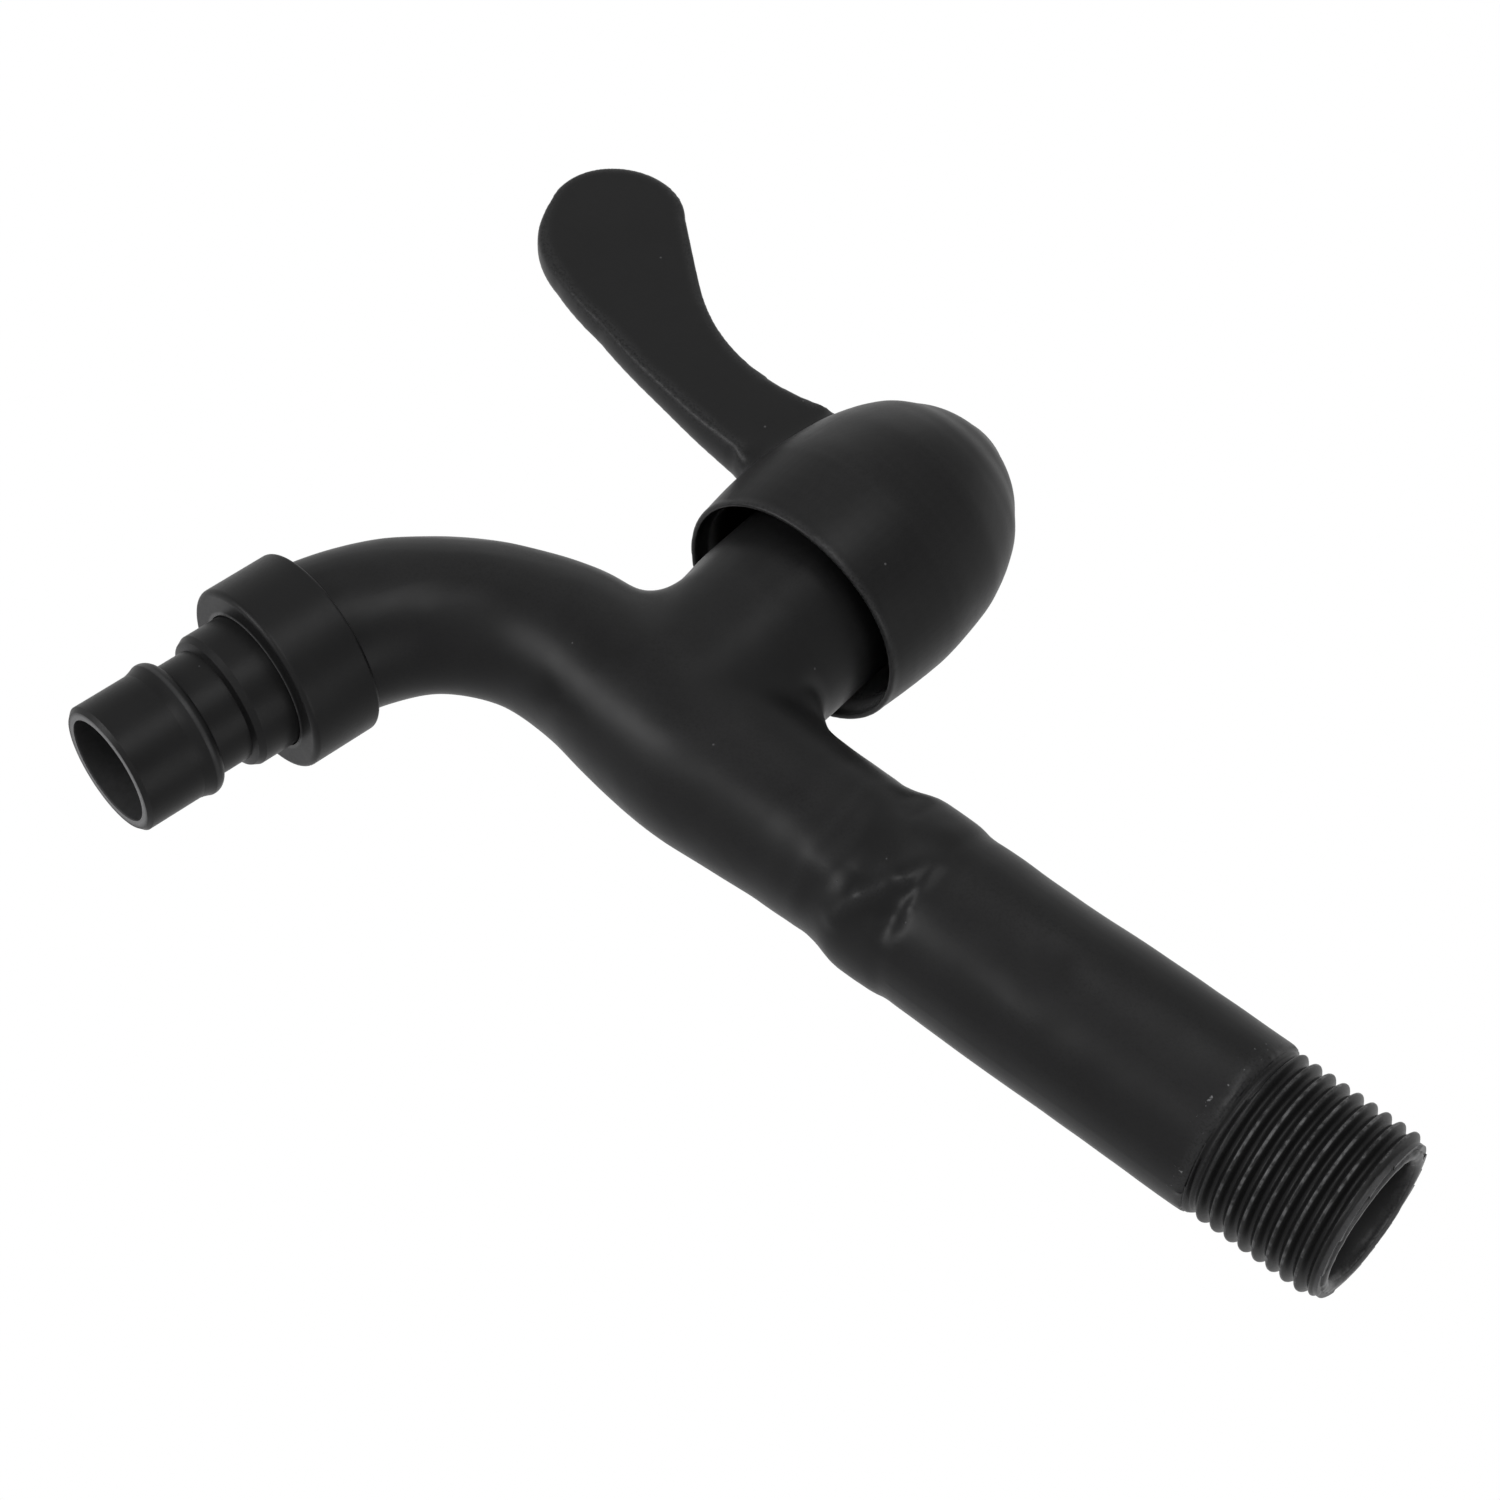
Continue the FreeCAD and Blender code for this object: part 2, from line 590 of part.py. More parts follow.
def body_waterways(body):
    turned(body, [
        ("-overshoot", "0"),
        ("-overshoot", "inlet_bore + bore_chamfer + overshoot"),
        ("bore_chamfer", "inlet_bore"),
        ("inlet_bore_end", "inlet_bore"),
        ("inlet_bore_end + drill_point", "0"),
    ], "InletBore", "H_Axis", cut=True)
    port = new_sketch(body, "YZ_Plane", "PortOutline", "inlet_bore_end - port_overlap")
    draw_circle(port, "0", "-port_height", "port_radius")
    pocket(body, port, "Port", "neck_x + port_reach - inlet_bore_end + port_overlap",
           reverse=True)
    bore = new_sketch(body, "XZ_Plane", "ChamberOutline")
    draw(bore, [
        ("neck_x", "-port_height"),
        ("neck_x + seat_bore", "-port_height"),
        ("neck_x + seat_bore", "seat_height"),
        ("neck_x + chamber_bore", "seat_height"),
        ("neck_x + chamber_bore", "neck_thread_start"),
        ("neck_x + neck_thread_bore", "neck_thread_start"),
        ("neck_x + neck_thread_bore", "neck_top + overshoot"),
        ("neck_x", "neck_top + overshoot"),
    ])
    spin_line(bore, ("neck_x", "0"), ("neck_x", "axis_mark"))
    revolve(body, bore, "Chamber", "Axis0", cut=True)
    level = new_sketch(body, "YZ_Plane", "SpoutLevelOutline", "bend_start")
    draw_circle(level, "0", "spout_rise", "spout_bore")
    pocket(body, level, "SpoutLevelWay", "bend_start - neck_x - chamber_bore + way_overlap")
    bend = new_sketch(body, "YZ_Plane", "SpoutBendOutline", "bend_start")
    draw_circle(bend, "0", "spout_rise", "spout_bore")
    spin_line(bend, ("0", "spout_rise - bend_radius"), ("axis_mark", "spout_rise - bend_radius"))
    way = body.newObject("PartDesign::Groove", "SpoutBendWay")
    way.Profile = bend
    way.ReferenceAxis = (bend, ["Axis0"])
    way.setExpression("Angle", linked("bend_turn"))
    doc.recompute()
    x, z, turn = bend_place("1")
    mouth = spout_section(body, "OutletWayOutline", x, z, turn, "spout_bore")
    pocket(body, mouth, "OutletWay", "boss_length + overshoot", reverse=True)


def spin_line(sketch, start, end):
    """The construction line that a turned feature of this sketch turns about."""
    line = sketch.addGeometry(Part.LineSegment(Vector(size(start[0]), size(start[1]), 0),
                                               Vector(size(end[0]), size(end[1]), 0)), True)
    rules = []
    fix_point(sketch, rules, line, 1, start)
    fix_point(sketch, rules, line, 2, end)
    apply_rules(sketch, rules)


def make_body():
    body = new_body("valve_body")
    body_spout(body)
    body_neck(body)
    body_core(body)
    body_hexagon(body)
    body_boss(body)
    body_waterways(body)
    return body


# The outlet: collar nut, washer and hose nozzle, on an axis of their own, heights from the tip.

def on_outlet(body):
    """The nozzle's tip, in line with the end of the spout's bend."""
    x_end, z_end, turn = bend_place("1")
    x = "%s + nozzle_reach * cos(bend_turn * 1 deg)" % x_end
    z = "%s - nozzle_reach * sin(bend_turn * 1 deg)" % z_end
    on_axis(body, x, z, "bend_turn - 90")


def flange_radius():
    return "step_radius + flange_step"


def collar_bore():
    return flange_radius() + " + flange_play"


def collar_radius():
    return collar_bore() + " + collar_wall"


def make_hose_nozzle():
    body = new_body("hose_nozzle")
    turned(body, [
        ("nozzle_bore", "0"),
        ("nozzle_tip_radius - nozzle_tip_chamfer", "0"),
        ("nozzle_tip_radius", "nozzle_tip_chamfer"),
        ("nozzle_tip_radius", "barb_start", "barb_lead_curve", "left"),
        ("barb_radius", "barb_top - barb_crest", "barb_curve", "right"),
        ("nozzle_tip_radius", "barb_end - barb_drop"),
        ("groove_radius", "barb_end"),
        ("groove_radius", "step_start"),
        ("nozzle_tip_radius", "step_start + step_foot"),
        ("step_radius", "step_start + step_lead"),
        ("step_radius", "flange_start"),
        (flange_radius(), "flange_start"),
        (flange_radius(), "flange_start + flange_thickness"),
        ("nozzle_bore", "flange_start + flange_thickness"),
    ], "Nozzle")
    on_outlet(body)
    return body


def make_nozzle_washer():
    body = new_body("nozzle_washer")
    low = "flange_start + flange_thickness + washer_gap"
    high = "nozzle_reach - boss_length - washer_gap"
    turned(body, [("nozzle_bore", low), (flange_radius(), low),
                  (flange_radius(), high), ("nozzle_bore", high)], "Washer")
    on_outlet(body)
    return body


def make_outlet_collar():
    body = new_body("outlet_collar")
    seat = "flange_start - washer_gap"
    lip_bore = "step_radius + lip_play"
    entry_bore = "spout_radius_five + entry_play"
    turned(body, [
        (lip_bore, "collar_start"),
        (collar_radius(), "collar_start"),
        (collar_radius(), "collar_end"),
        (entry_bore, "collar_end"),
        (entry_bore, "collar_entry_start"),
        (collar_bore(), "collar_entry_start"),
        (collar_bore(), seat),
        (lip_bore, seat),
    ], "Collar")
    fillet(body, "FrontRound", ring_at("z", size("collar_start"), size(collar_radius())),
           "collar_front_round")
    fillet(body, "BackRound", ring_at("z", size("collar_end"), size(collar_radius())),
           "collar_back_round")
    on_outlet(body)
    return body


# Heights that hang from the dome's apex, so that screw, socket and spindle follow it.

def counterbore_floor():
    return "apex_height - counterbore_depth"


def socket_top():
    return counterbore_floor() + " - socket_roof"


def spindle_top():
    return socket_top() + " - socket_play"


# The cartridge in the neck, on the neck's axis.

def gasket_top():
    return "neck_top + gasket_thickness"


def make_bonnet():
    body = new_body("cartridge_bonnet")
    seat = gasket_top()
    turned(body, [
        ("cage_bore", "cage_start"),
        ("cage_radius", "cage_start"),
        ("cage_radius", "bonnet_thread_start"),
        ("bonnet_thread", "bonnet_thread_start"),
        ("bonnet_thread", seat),
        ("sleeve_radius", seat),
        ("sleeve_radius", "sleeve_top"),
        ("spindle_bore", "sleeve_top"),
        ("spindle_bore", "shoulder_height"),
        ("cage_bore", "shoulder_height"),
    ], "Bonnet")
    flange = new_sketch(body, "XY_Plane", "FlangeOutline", seat)
    draw(flange, hexagon("flange_flats"))
    draw_circle(flange, "0", "0", "sleeve_radius - flange_overlap")
    pad(body, flange, "Flange", "flange_height")
    across = "(cage_radius + overshoot) * 2"
    windows = new_sketch(body, "XZ_Plane", "WindowOutline")
    draw(windows, rectangle("0", "window_start + window_height / 2",
                            "window_width / 2", "window_height / 2"))
    pocket(body, windows, "Windows", across, both_ways=True)
    cross = new_sketch(body, "YZ_Plane", "SpoutWindowOutline")
    draw(cross, rectangle("0", "window_start + window_height / 2",
                          "window_width / 2", "window_height / 2"))
    pocket(body, cross, "SpoutWindows", across, both_ways=True)
    stop_wall(body)
    on_axis(body, "neck_x")
    return body


def stop_wall(body):
    """A raised wall round the sleeve's top, open for the lug's quarter turn."""
    wall = new_sketch(body, "XY_Plane", "StopWallOutline", "sleeve_top")
    draw_circle(wall, "0", "0", "sleeve_radius")
    draw_circle(wall, "0", "0", "stop_inner")
    pad(body, wall, "StopWall", "stop_top - sleeve_top")
    gap = new_sketch(body, "XY_Plane", "StopGapOutline", "sleeve_top")
    near = "-stop_gap_side"
    far = "sleeve_radius + overshoot"
    draw(gap, [(near, near), (far, near), (far, far), (near, far)])
    pocket(body, gap, "StopGap", "stop_top - sleeve_top", reverse=True)


def make_gasket():
    body = new_body("bonnet_gasket")
    low = "neck_top + washer_gap"
    high = "neck_top + gasket_thickness - washer_gap"
    edge = "neck_radius - gasket_inset"
    turned(body, [("gasket_bore", low), (edge, low), (edge, high), ("gasket_bore", high)],
           "Gasket")
    on_axis(body, "neck_x")
    return body


def make_seat_seal():
    body = new_body("seat_seal")
    low = "seat_height + seal_play"
    high = "fixed_disc_start - seal_play"
    step = "cage_start - seal_play"
    inside = "cage_bore - seal_side_play"
    turned(body, [("seal_inner", low), ("seal_outer", low), ("seal_outer", step),
                  (inside, step), (inside, high), ("seal_inner", high)], "Seal")
    on_axis(body, "neck_x")
    return body


def disc_blank(label, low):
    body = new_body(label)
    high = low + " + disc_thickness"
    turned(body, [("0", low), ("disc_radius", low), ("disc_radius", high), ("0", high)], "Disc")
    on_axis(body, "neck_x")
    return body


def disc_holes(body, low, across):
    """Two round water holes, side by side along X or, when across, along Y."""
    sketch = new_sketch(body, "XY_Plane", "HoleOutline", low)
    for sign in ("", "-"):
        offset = sign + "disc_hole_offset"
        place = ("0", offset) if across else (offset, "0")
        draw_circle(sketch, place[0], place[1], "disc_hole")
    pocket(body, sketch, "Holes", "disc_thickness", reverse=True)


def make_fixed_disc():
    body = disc_blank("fixed_disc", "fixed_disc_start")
    disc_holes(body, "fixed_disc_start", across=True)
    return body


def turning_disc_start():
    return "fixed_disc_start + disc_thickness + disc_play"


def make_turning_disc():
    """Its holes lie a quarter turn from the fixed disc's while the tap is shut."""
    low = turning_disc_start()
    body = disc_blank("turning_disc", low)
    disc_holes(body, low, across=False)
    slot = new_sketch(body, "XY_Plane", "SlotOutline", low + " + disc_thickness")
    draw(slot, rectangle("0", "0", "key_width / 2 + slot_play", "key_length / 2 + slot_play"))
    pocket(body, slot, "Slot", "key_depth + slot_play")
    return body


def make_spindle():
    body = new_body("spindle")
    bore = "spindle_bore - spindle_play"
    points = [("0", "foot_start"), ("foot_radius", "foot_start"),
              ("foot_radius", "foot_top"), (bore, "foot_top")]
    for groove in ("ring_groove_one", "ring_groove_two"):
        points += [(bore, groove), ("ring_groove_radius", groove),
                   ("ring_groove_radius", groove + " + ring_groove_width"),
                   (bore, groove + " + ring_groove_width")]
    clip_top = "clip_start + clip_thickness + washer_gap * 2"
    points += [(bore, "clip_start - washer_gap"), ("clip_groove_radius", "clip_start - washer_gap"),
               ("clip_groove_radius", clip_top), (bore, clip_top), (bore, "lug_top"),
               ("tooth_radius", "lug_top"), ("tooth_radius", spindle_top() + " - spindle_chamfer"),
               ("tooth_radius - spindle_chamfer", spindle_top()), ("0", spindle_top())]
    turned(body, points, "Spindle")
    key = new_sketch(body, "XY_Plane", "KeyOutline", "foot_start")
    draw(key, rectangle("0", "0", "key_width / 2", "key_length / 2"))
    feature = pad(body, key, "Key", "key_depth")
    feature.Reversed = True
    lug = new_sketch(body, "XY_Plane", "LugOutline", "lug_start")
    draw(lug, rectangle("lug_reach / 2", "0", "lug_reach / 2", "lug_width / 2"))
    pad(body, lug, "Lug", "lug_top - lug_start")
    spindle_teeth(body)
    hole = new_sketch(body, "XY_Plane", "ScrewHoleOutline", spindle_top())
    draw_circle(hole, "0", "0", "tap_hole")
    pocket(body, hole, "ScrewHole", spindle_top() + " - tap_hole_bottom")
    on_axis(body, "neck_x")
    return body


def spindle_teeth(body):
    """One tooth space, repeated round the spindle's upper end."""
    space = new_sketch(body, "XY_Plane", "ToothSpaceOutline", spindle_top())
    wide = "tooth_space / 2 * (tooth_depth + overshoot) / tooth_depth"
    draw(space, [("tooth_radius - tooth_depth", "0"),
                 ("tooth_radius + overshoot", "-" + wide),
                 ("tooth_radius + overshoot", wide)])
    cut = pocket(body, space, "ToothSpace", spindle_top() + " - lug_top - tooth_foot")
    pattern = body.newObject("PartDesign::PolarPattern", "Teeth")
    pattern.Originals = [cut]
    pattern.Axis = (origin_feature(body, "Z_Axis"), [""])
    pattern.Angle = 360
    pattern.Occurrences = int(size("tooth_count"))
    pattern.setExpression("Occurrences", linked("tooth_count"))
    body.Tip = pattern
    doc.recompute()


def make_o_rings():
    body = new_body("spindle_o_rings")
    centre = "(ring_groove_radius + spindle_bore) / 2"
    for name, groove in (("LowerRing", "ring_groove_one"), ("UpperRing", "ring_groove_two")):
        ring = new_sketch(body, "XZ_Plane", name + "Outline")
        draw_circle(ring, centre, groove + " + ring_groove_width / 2", "ring_section - washer_gap")
        revolve(body, ring, name)
    on_axis(body, "neck_x")
    return body


def make_slip_washer():
    body = new_body("slip_washer")
    low = "foot_top + washer_gap"
    high = "shoulder_height - washer_gap"
    turned(body, [("slip_inner", low), ("foot_radius", low),
                  ("foot_radius", high), ("slip_inner", high)], "Washer")
    on_axis(body, "neck_x")
    return body


def open_ring(label, inner, outer, low, thickness, gap):
    """A flat ring with one gap, as a circlip or a split washer has."""
    body = new_body(label)
    sketch = new_sketch(body, "XY_Plane", "RingOutline", low)
    draw_circle(sketch, "0", "0", outer)
    draw_circle(sketch, "0", "0", inner)
    pad(body, sketch, "Ring", thickness)
    opening = new_sketch(body, "XY_Plane", "GapOutline", low)
    draw(opening, rectangle(outer, "0", outer, "(%s) / 2" % gap))
    pocket(body, opening, "Gap", thickness, reverse=True)
    on_axis(body, "neck_x")
    return body


# The handle and what holds it.

def lever_fin(body):
    """An upright plate over the spout: waist, paddle and nose in one outline."""
    outline = new_sketch(body, "XZ_Plane", "FinOutline")
    draw(outline, [
        ("fin_root", "fin_root_top"),
        ("fin_top_join", "fin_top_join_z", "fin_neck_curve", "right"),
        ("fin_rise_start", "fin_rise_start_z"),
        ("fin_rise_end", "fin_rise_end_z", "fin_crest_curve", "left"),
        ("fin_crest_end", "fin_crest_end_z", "fin_nose_curve", "left"),
        ("fin_nose_end", "fin_nose_end_z", "fin_chin_curve", "left"),
        ("fin_chin_end", "fin_chin_end_z", "fin_belly_curve", "left"),
        ("fin_belly_end", "fin_belly_end_z"),
        ("fin_heel_start", "fin_heel_start_z", "fin_heel_curve", "right"),
        ("fin_heel_end", "fin_heel_end_z"),
        ("fin_root", "fin_root_bottom"),
    ])
    pad(body, outline, "Fin", "fin_thickness", both_ways=True)
    taper = new_sketch(body, "XY_Plane", "FinTaperOutline")
    near = "fin_root - overshoot"
    far = "fin_nose_end + fin_taper_run"
    thin = "fin_tip_thickness / 2"
    draw(taper, [(near, "fin_thickness / 2"), (far, thin),
                 (far, "fin_thickness"), (near, "fin_thickness")])
    draw(taper, [(near, "-fin_thickness / 2"), (far, "-" + thin),
                 (far, "-fin_thickness"), (near, "-fin_thickness")])
    pocket(body, taper, "FinTaper", "(fin_crest_end_z + fin_crest_curve) * 2", both_ways=True)

    def outer_edge(edge):
        points = edge.discretize(7)
        off_middle = min(abs(point.y) for point in points) > size("fin_tip_thickness") / 2
        beyond = max(point.x for point in points) > size("fin_root") + NEAR
        return off_middle and beyond and edge.BoundBox.YLength < size("fin_thickness") / 2
    fillet(body, "FinEdges", outer_edge, "fin_edge_break", chamfer=True)


def cap_height(radius, top):
    """Height of the round cap under its top, at a radius from the axis."""
    return "%s - apex_curve + sqrt(apex_curve * apex_curve - %s * %s)" % (top, radius, radius)


def make_handle():
    body = new_body("handle")
    lever_fin(body)
    turned(body, [
        ("0", "rim_height"),
        ("rim_radius", "rim_height", "lower_curve", "right"),
        ("belly_radius", "belly_height", "upper_curve", "right"),
        ("shoulder_r", "shoulder_z", "crown_curve", "right"),
        ("crown_r", cap_height("crown_r", "apex_height"), "apex_curve", "right"),
        ("0", "apex_height"),
    ], "Dome")
    roof = "apex_height - crown_depth"
    turned(body, [
        ("0", "rim_height - overshoot"),
        ("rim_radius - dome_wall", "rim_height - overshoot"),
        ("rim_radius - dome_wall", "rim_height", "lower_curve", "right"),
        ("belly_radius - dome_wall", "belly_height", "upper_curve - dome_wall", "right"),
        ("shoulder_r - dome_wall + roof_corner", roof),
        ("boss_outer", roof),
        ("boss_outer", "boss_bottom"),
        ("0", "boss_bottom"),
    ], "Cavity", cut=True)
    turned(body, [
        ("0", "boss_bottom - overshoot"),
        ("socket_radius", "boss_bottom - overshoot"),
        ("socket_radius", socket_top()),
        ("screw_hole", socket_top()),
        ("screw_hole", counterbore_floor()),
        ("counterbore_radius", counterbore_floor()),
        ("counterbore_radius", "apex_height + overshoot"),
        ("0", "apex_height + overshoot"),
    ], "Socket", cut=True)
    on_axis(body, "neck_x")
    return body


def make_handle_screw():
    body = new_body("handle_screw")
    seat = counterbore_floor() + " + split_thickness + washer_gap"
    top = seat + " + head_height"
    turned(body, [
        ("0", "screw_end"),
        ("screw_radius - screw_point", "screw_end"),
        ("screw_radius", "screw_end + screw_point"),
        ("screw_radius", seat),
        ("head_radius", seat),
        ("head_radius", top + " - head_edge", "head_round", "right"),
        ("head_radius - head_edge", top),
        ("0", top),
    ], "Screw")
    for name, wide, high in (("RecessOne", "recess_length", "recess_width"),
                             ("RecessTwo", "recess_width", "recess_length")):
        recess = new_sketch(body, "XY_Plane", name + "Outline", top)
        draw(recess, rectangle("0", "0", wide + " / 2", high + " / 2"))
        pocket(body, recess, name, "recess_depth")
    on_axis(body, "neck_x")
    return body


def make_screw_plug():
    body = new_body("screw_plug")
    underside = "apex_height - plug_sink - plug_thickness"
    turned(body, [
        ("0", underside),
        ("plug_radius", underside),
        ("plug_radius", cap_height("plug_radius", "apex_height - plug_sink"),
         "apex_curve", "right"),
        ("0", "apex_height - plug_sink"),
    ], "Plug")
    on_axis(body, "neck_x")
    return body


def make_all():
    fill_sheet()
    return [
        make_body(),
        make_hose_nozzle(),
        make_nozzle_washer(),
        make_outlet_collar(),
        make_bonnet(),
        make_gasket(),
        make_seat_seal(),
        make_fixed_disc(),
        make_turning_disc(),
        make_spindle(),
        make_o_rings(),
        make_slip_washer(),
        open_ring("spindle_circlip", "clip_groove_radius + washer_gap", "clip_radius",
                  "clip_start", "clip_thickness", "clip_gap"),
        make_handle(),
        make_handle_screw(),
        open_ring("screw_washer", "split_bore", "split_radius",
                  counterbore_floor() + " + washer_gap", "split_thickness - washer_gap",
                  "split_gap"),
        make_screw_plug(),
    ]


def check_document():
    for item in doc.Objects:
        if "Invalid" in item.State or "Error" in item.State:
            raise RuntimeError("%s is %s" % (item.Name, item.State))


def write_parts(bodies):
    os.makedirs("parts", exist_ok=True)
    for body in bodies:
        shape = body.Shape
        if shape.isNull() or not shape.isValid():
            raise RuntimeError(body.Label + " has no valid shape")
        shape.exportStep("parts/%s.step" % body.Label)
        print("%-18s solids %d  volume %8.1f" % (body.Label, len(shape.Solids), shape.Volume))


parts = make_all()
doc.recompute()
check_document()
write_parts(parts)
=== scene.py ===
# %% [markdown]
# # A washing machine tap
#
# The solids, the sizes and the turning handle come from the imported CAD model. This lesson gives the
# tap its looks: a cast body and a cast handle with soft corners, a real helical thread on the shank,
# a satin black coating, and the light of a plain white studio.

# %% Load the CAD model
import math

import bpy
import numpy as np
from mathutils import Matrix, Vector, noise


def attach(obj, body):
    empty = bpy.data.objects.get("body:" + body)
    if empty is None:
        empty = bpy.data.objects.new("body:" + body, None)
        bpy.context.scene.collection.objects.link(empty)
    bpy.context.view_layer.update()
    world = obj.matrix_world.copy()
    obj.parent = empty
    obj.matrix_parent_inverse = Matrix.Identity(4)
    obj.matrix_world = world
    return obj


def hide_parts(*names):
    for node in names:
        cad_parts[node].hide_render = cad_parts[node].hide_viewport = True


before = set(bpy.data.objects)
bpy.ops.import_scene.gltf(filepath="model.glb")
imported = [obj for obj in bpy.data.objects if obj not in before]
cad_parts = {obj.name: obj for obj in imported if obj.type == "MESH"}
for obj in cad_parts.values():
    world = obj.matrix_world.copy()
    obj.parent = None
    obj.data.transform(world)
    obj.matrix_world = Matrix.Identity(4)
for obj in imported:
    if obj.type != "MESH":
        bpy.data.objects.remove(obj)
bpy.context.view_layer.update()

MM = 0.001
NECK_X = 99.6       # where the axis of the neck and the handle meets the axis of the inlet, in mm


# %% [markdown]
# ## Working by operators
#
# An operator acts on everything that is selected, and the model arrives selected. So each step first
# clears the selection and then picks the one piece that it works on.

# %% Pick one piece to work on
def clear_selection():
    if bpy.context.mode != "OBJECT":
        bpy.ops.object.mode_set(mode="OBJECT")
    bpy.ops.object.select_all(action="DESELECT")


def work_on(piece):
    clear_selection()
    piece.select_set(True)
    bpy.context.view_layer.objects.active = piece


def edit_all():
    """Opens the active piece for editing, with the whole of it selected."""
    bpy.ops.object.mode_set(mode="EDIT")
    bpy.ops.mesh.select_all(action="SELECT")


def apply_modifier(piece, kind, **settings):
    """Adds a modifier, sets it up and applies it at once."""
    work_on(piece)
    bpy.ops.object.modifier_add(type=kind)
    modifier = piece.modifiers[-1]
    for name, value in settings.items():
        setattr(modifier, name, value)
    bpy.ops.object.modifier_apply(modifier=modifier.name)


clear_selection()
print("selected:", len(bpy.context.selected_objects))

# %% [markdown]
# ## The camera
#
# The picture is taken from below, beside the free end of the shank, so the tap hangs over the camera
# with its thread to the lower right. The lens is a long one, which keeps the thread and the nozzle in
# scale. The three directions of the picture are kept, because the lamps are placed by them later.

# %% Place the camera
CAMERA_PLACE = (-0.06938, 0.32992, -0.19558)
LINE_OF_SIGHT = (0.3820, -0.7908, 0.4783)
PICTURE_RIGHT = (-0.7587, 0.0272, 0.6509)

camera_data = bpy.data.cameras.new("camera")
camera_data.lens = 86.7
camera_data.sensor_width = 36.0
camera_data.clip_end = 20.0
camera = bpy.data.objects.new("camera", camera_data)
bpy.context.scene.collection.objects.link(camera)
right = Vector(PICTURE_RIGHT).normalized()
back = -Vector(LINE_OF_SIGHT).normalized()
up = back.cross(right).normalized()
right = up.cross(back)
turn = Matrix((right, up, back)).transposed().to_4x4()
camera.matrix_world = Matrix.Translation(CAMERA_PLACE) @ turn
bpy.context.scene.camera = camera
print("camera at", tuple(round(v, 3) for v in camera.location), "lens", camera_data.lens, "mm")

# %% [markdown]
# ## A shorthand for shader sums
#
# A finish is a small sum: a base tone plus some cloud, less a little where a mask says so. Adding
# each Math node by hand hides that sum, so a wire gets plus, minus and times of its own, and one
# method adds any other node.

# %% Wires and finishes
class Wire:
    """One output of a shader node, with sums that add the Math nodes."""

    def __init__(self, finish, socket):
        self.finish = finish
        self.socket = socket

    def math(self, operation, *values):
        return self.finish.node("Math", {"operation": operation}, dict(enumerate(values)))

    def __add__(self, other):
        return self.math("ADD", self, other)

    def __radd__(self, other):
        return self.math("ADD", other, self)

    def __sub__(self, other):
        return self.math("SUBTRACT", self, other)

    def __rsub__(self, other):
        return self.math("SUBTRACT", other, self)

    def __mul__(self, other):
        return self.math("MULTIPLY", self, other)

    def __rmul__(self, other):
        return self.math("MULTIPLY", other, self)

    def between(self, low, high):
        """0 under low, 1 over high, and a smooth step from one to the other."""
        settings = {"interpolation_type": "SMOOTHSTEP"}
        return self.finish.node("MapRange", settings, {"Value": self, "From Min": low, "From Max": high})


class Finish:
    """A material under construction, with one method that adds nodes to it."""

    def __init__(self, name):
        self.material = bpy.data.materials.new(name)
        self.material.use_nodes = True
        self.tree = self.material.node_tree
        self.tree.nodes.clear()
        self.place = self.node("TexCoord", {}, {}, "Object")

    def node(self, kind, settings, values, output=0):
        item = self.tree.nodes.new("ShaderNode" + kind)
        for name, value in settings.items():
            setattr(item, name, value)
        for name, value in values.items():
            if isinstance(value, Wire):
                self.tree.links.new(value.socket, item.inputs[name])
            else:
                item.inputs[name].default_value = value
        return Wire(self, item.outputs[output])

    def noise(self, size, detail=2.0, rough=0.5):
        """Noise whose lumps are about as large as size, in millimetres."""
        values = {"Vector": self.place, "Scale": 1.0 / (size * MM), "Detail": detail, "Roughness": rough}
        return self.node("TexNoise", {}, values)

    def blend(self, amount, first, second):
        """A colour between two others."""
        return self.node("Mix", {"data_type": "RGBA"}, {0: amount, 6: first, 7: second}, 2)

    def bump(self, height, depth, strength=1.0, normal=None):
        """Relief from a height between 0 and 1 that stands for a depth in millimetres."""
        values = {"Height": height, "Distance": depth * MM, "Strength": strength}
        if normal:
            values["Normal"] = normal
        return self.node("Bump", {}, values)

    def round_axis(self, start, way):
        """The distances along a line and away from it, in millimetres."""
        start = tuple(Vector(start) * MM)
        shift = self.node("VectorMath", {"operation": "SUBTRACT"}, {0: self.place, 1: start})
        along = self.node("VectorMath", {"operation": "DOT_PRODUCT"}, {0: shift, 1: way}, "Value")
        across = self.node("VectorMath", {"operation": "CROSS_PRODUCT"}, {0: shift, 1: way})
        away = self.node("VectorMath", {"operation": "LENGTH"}, {0: across}, "Value")
        return along * (1 / MM), away * (1 / MM)

    def close(self, **values):
        """Ends the finish with its shader."""
        named = {name.replace("_", " "): value for name, value in values.items()}
        shader = self.node("BsdfPrincipled", {}, named)
        end = self.tree.nodes.new("ShaderNodeOutputMaterial")
        self.tree.links.new(shader.socket, end.inputs["Surface"])
        print("finish", self.material.name, "with", len(self.tree.nodes), "nodes")
        return self.material


def grey(tone):
    return (tone, tone, tone * 1.02, 1.0)

# %% [markdown]
# ## The black coating
#
# The tap is cast steel under a satin black coating. The coating is nearly black, so what the eye
# sees is mostly its soft shine. Its roughness therefore carries the look: slow clouds where it went
# on thicker, a fine grain, and a few specks of dust. Along the edges, which an attribute on the mesh
# marks later on, it is a little smoother, and paler as a painted highlight. Where it is worn through,
# and where light is painted in, a mask lets a paler tone show. Each mask measures from an axis of the
# tap, in millimetres.

# %% The coating
COAT_TONE = 0.004
COAT_ROUGHNESS = 0.40
COAT_SHINE = 0.080
EDGE_HIGHLIGHT_TONE = 0.022
DUST_TONE = 0.05
WEAR_AND_PAINTED_LIGHT_TONE = 0.12


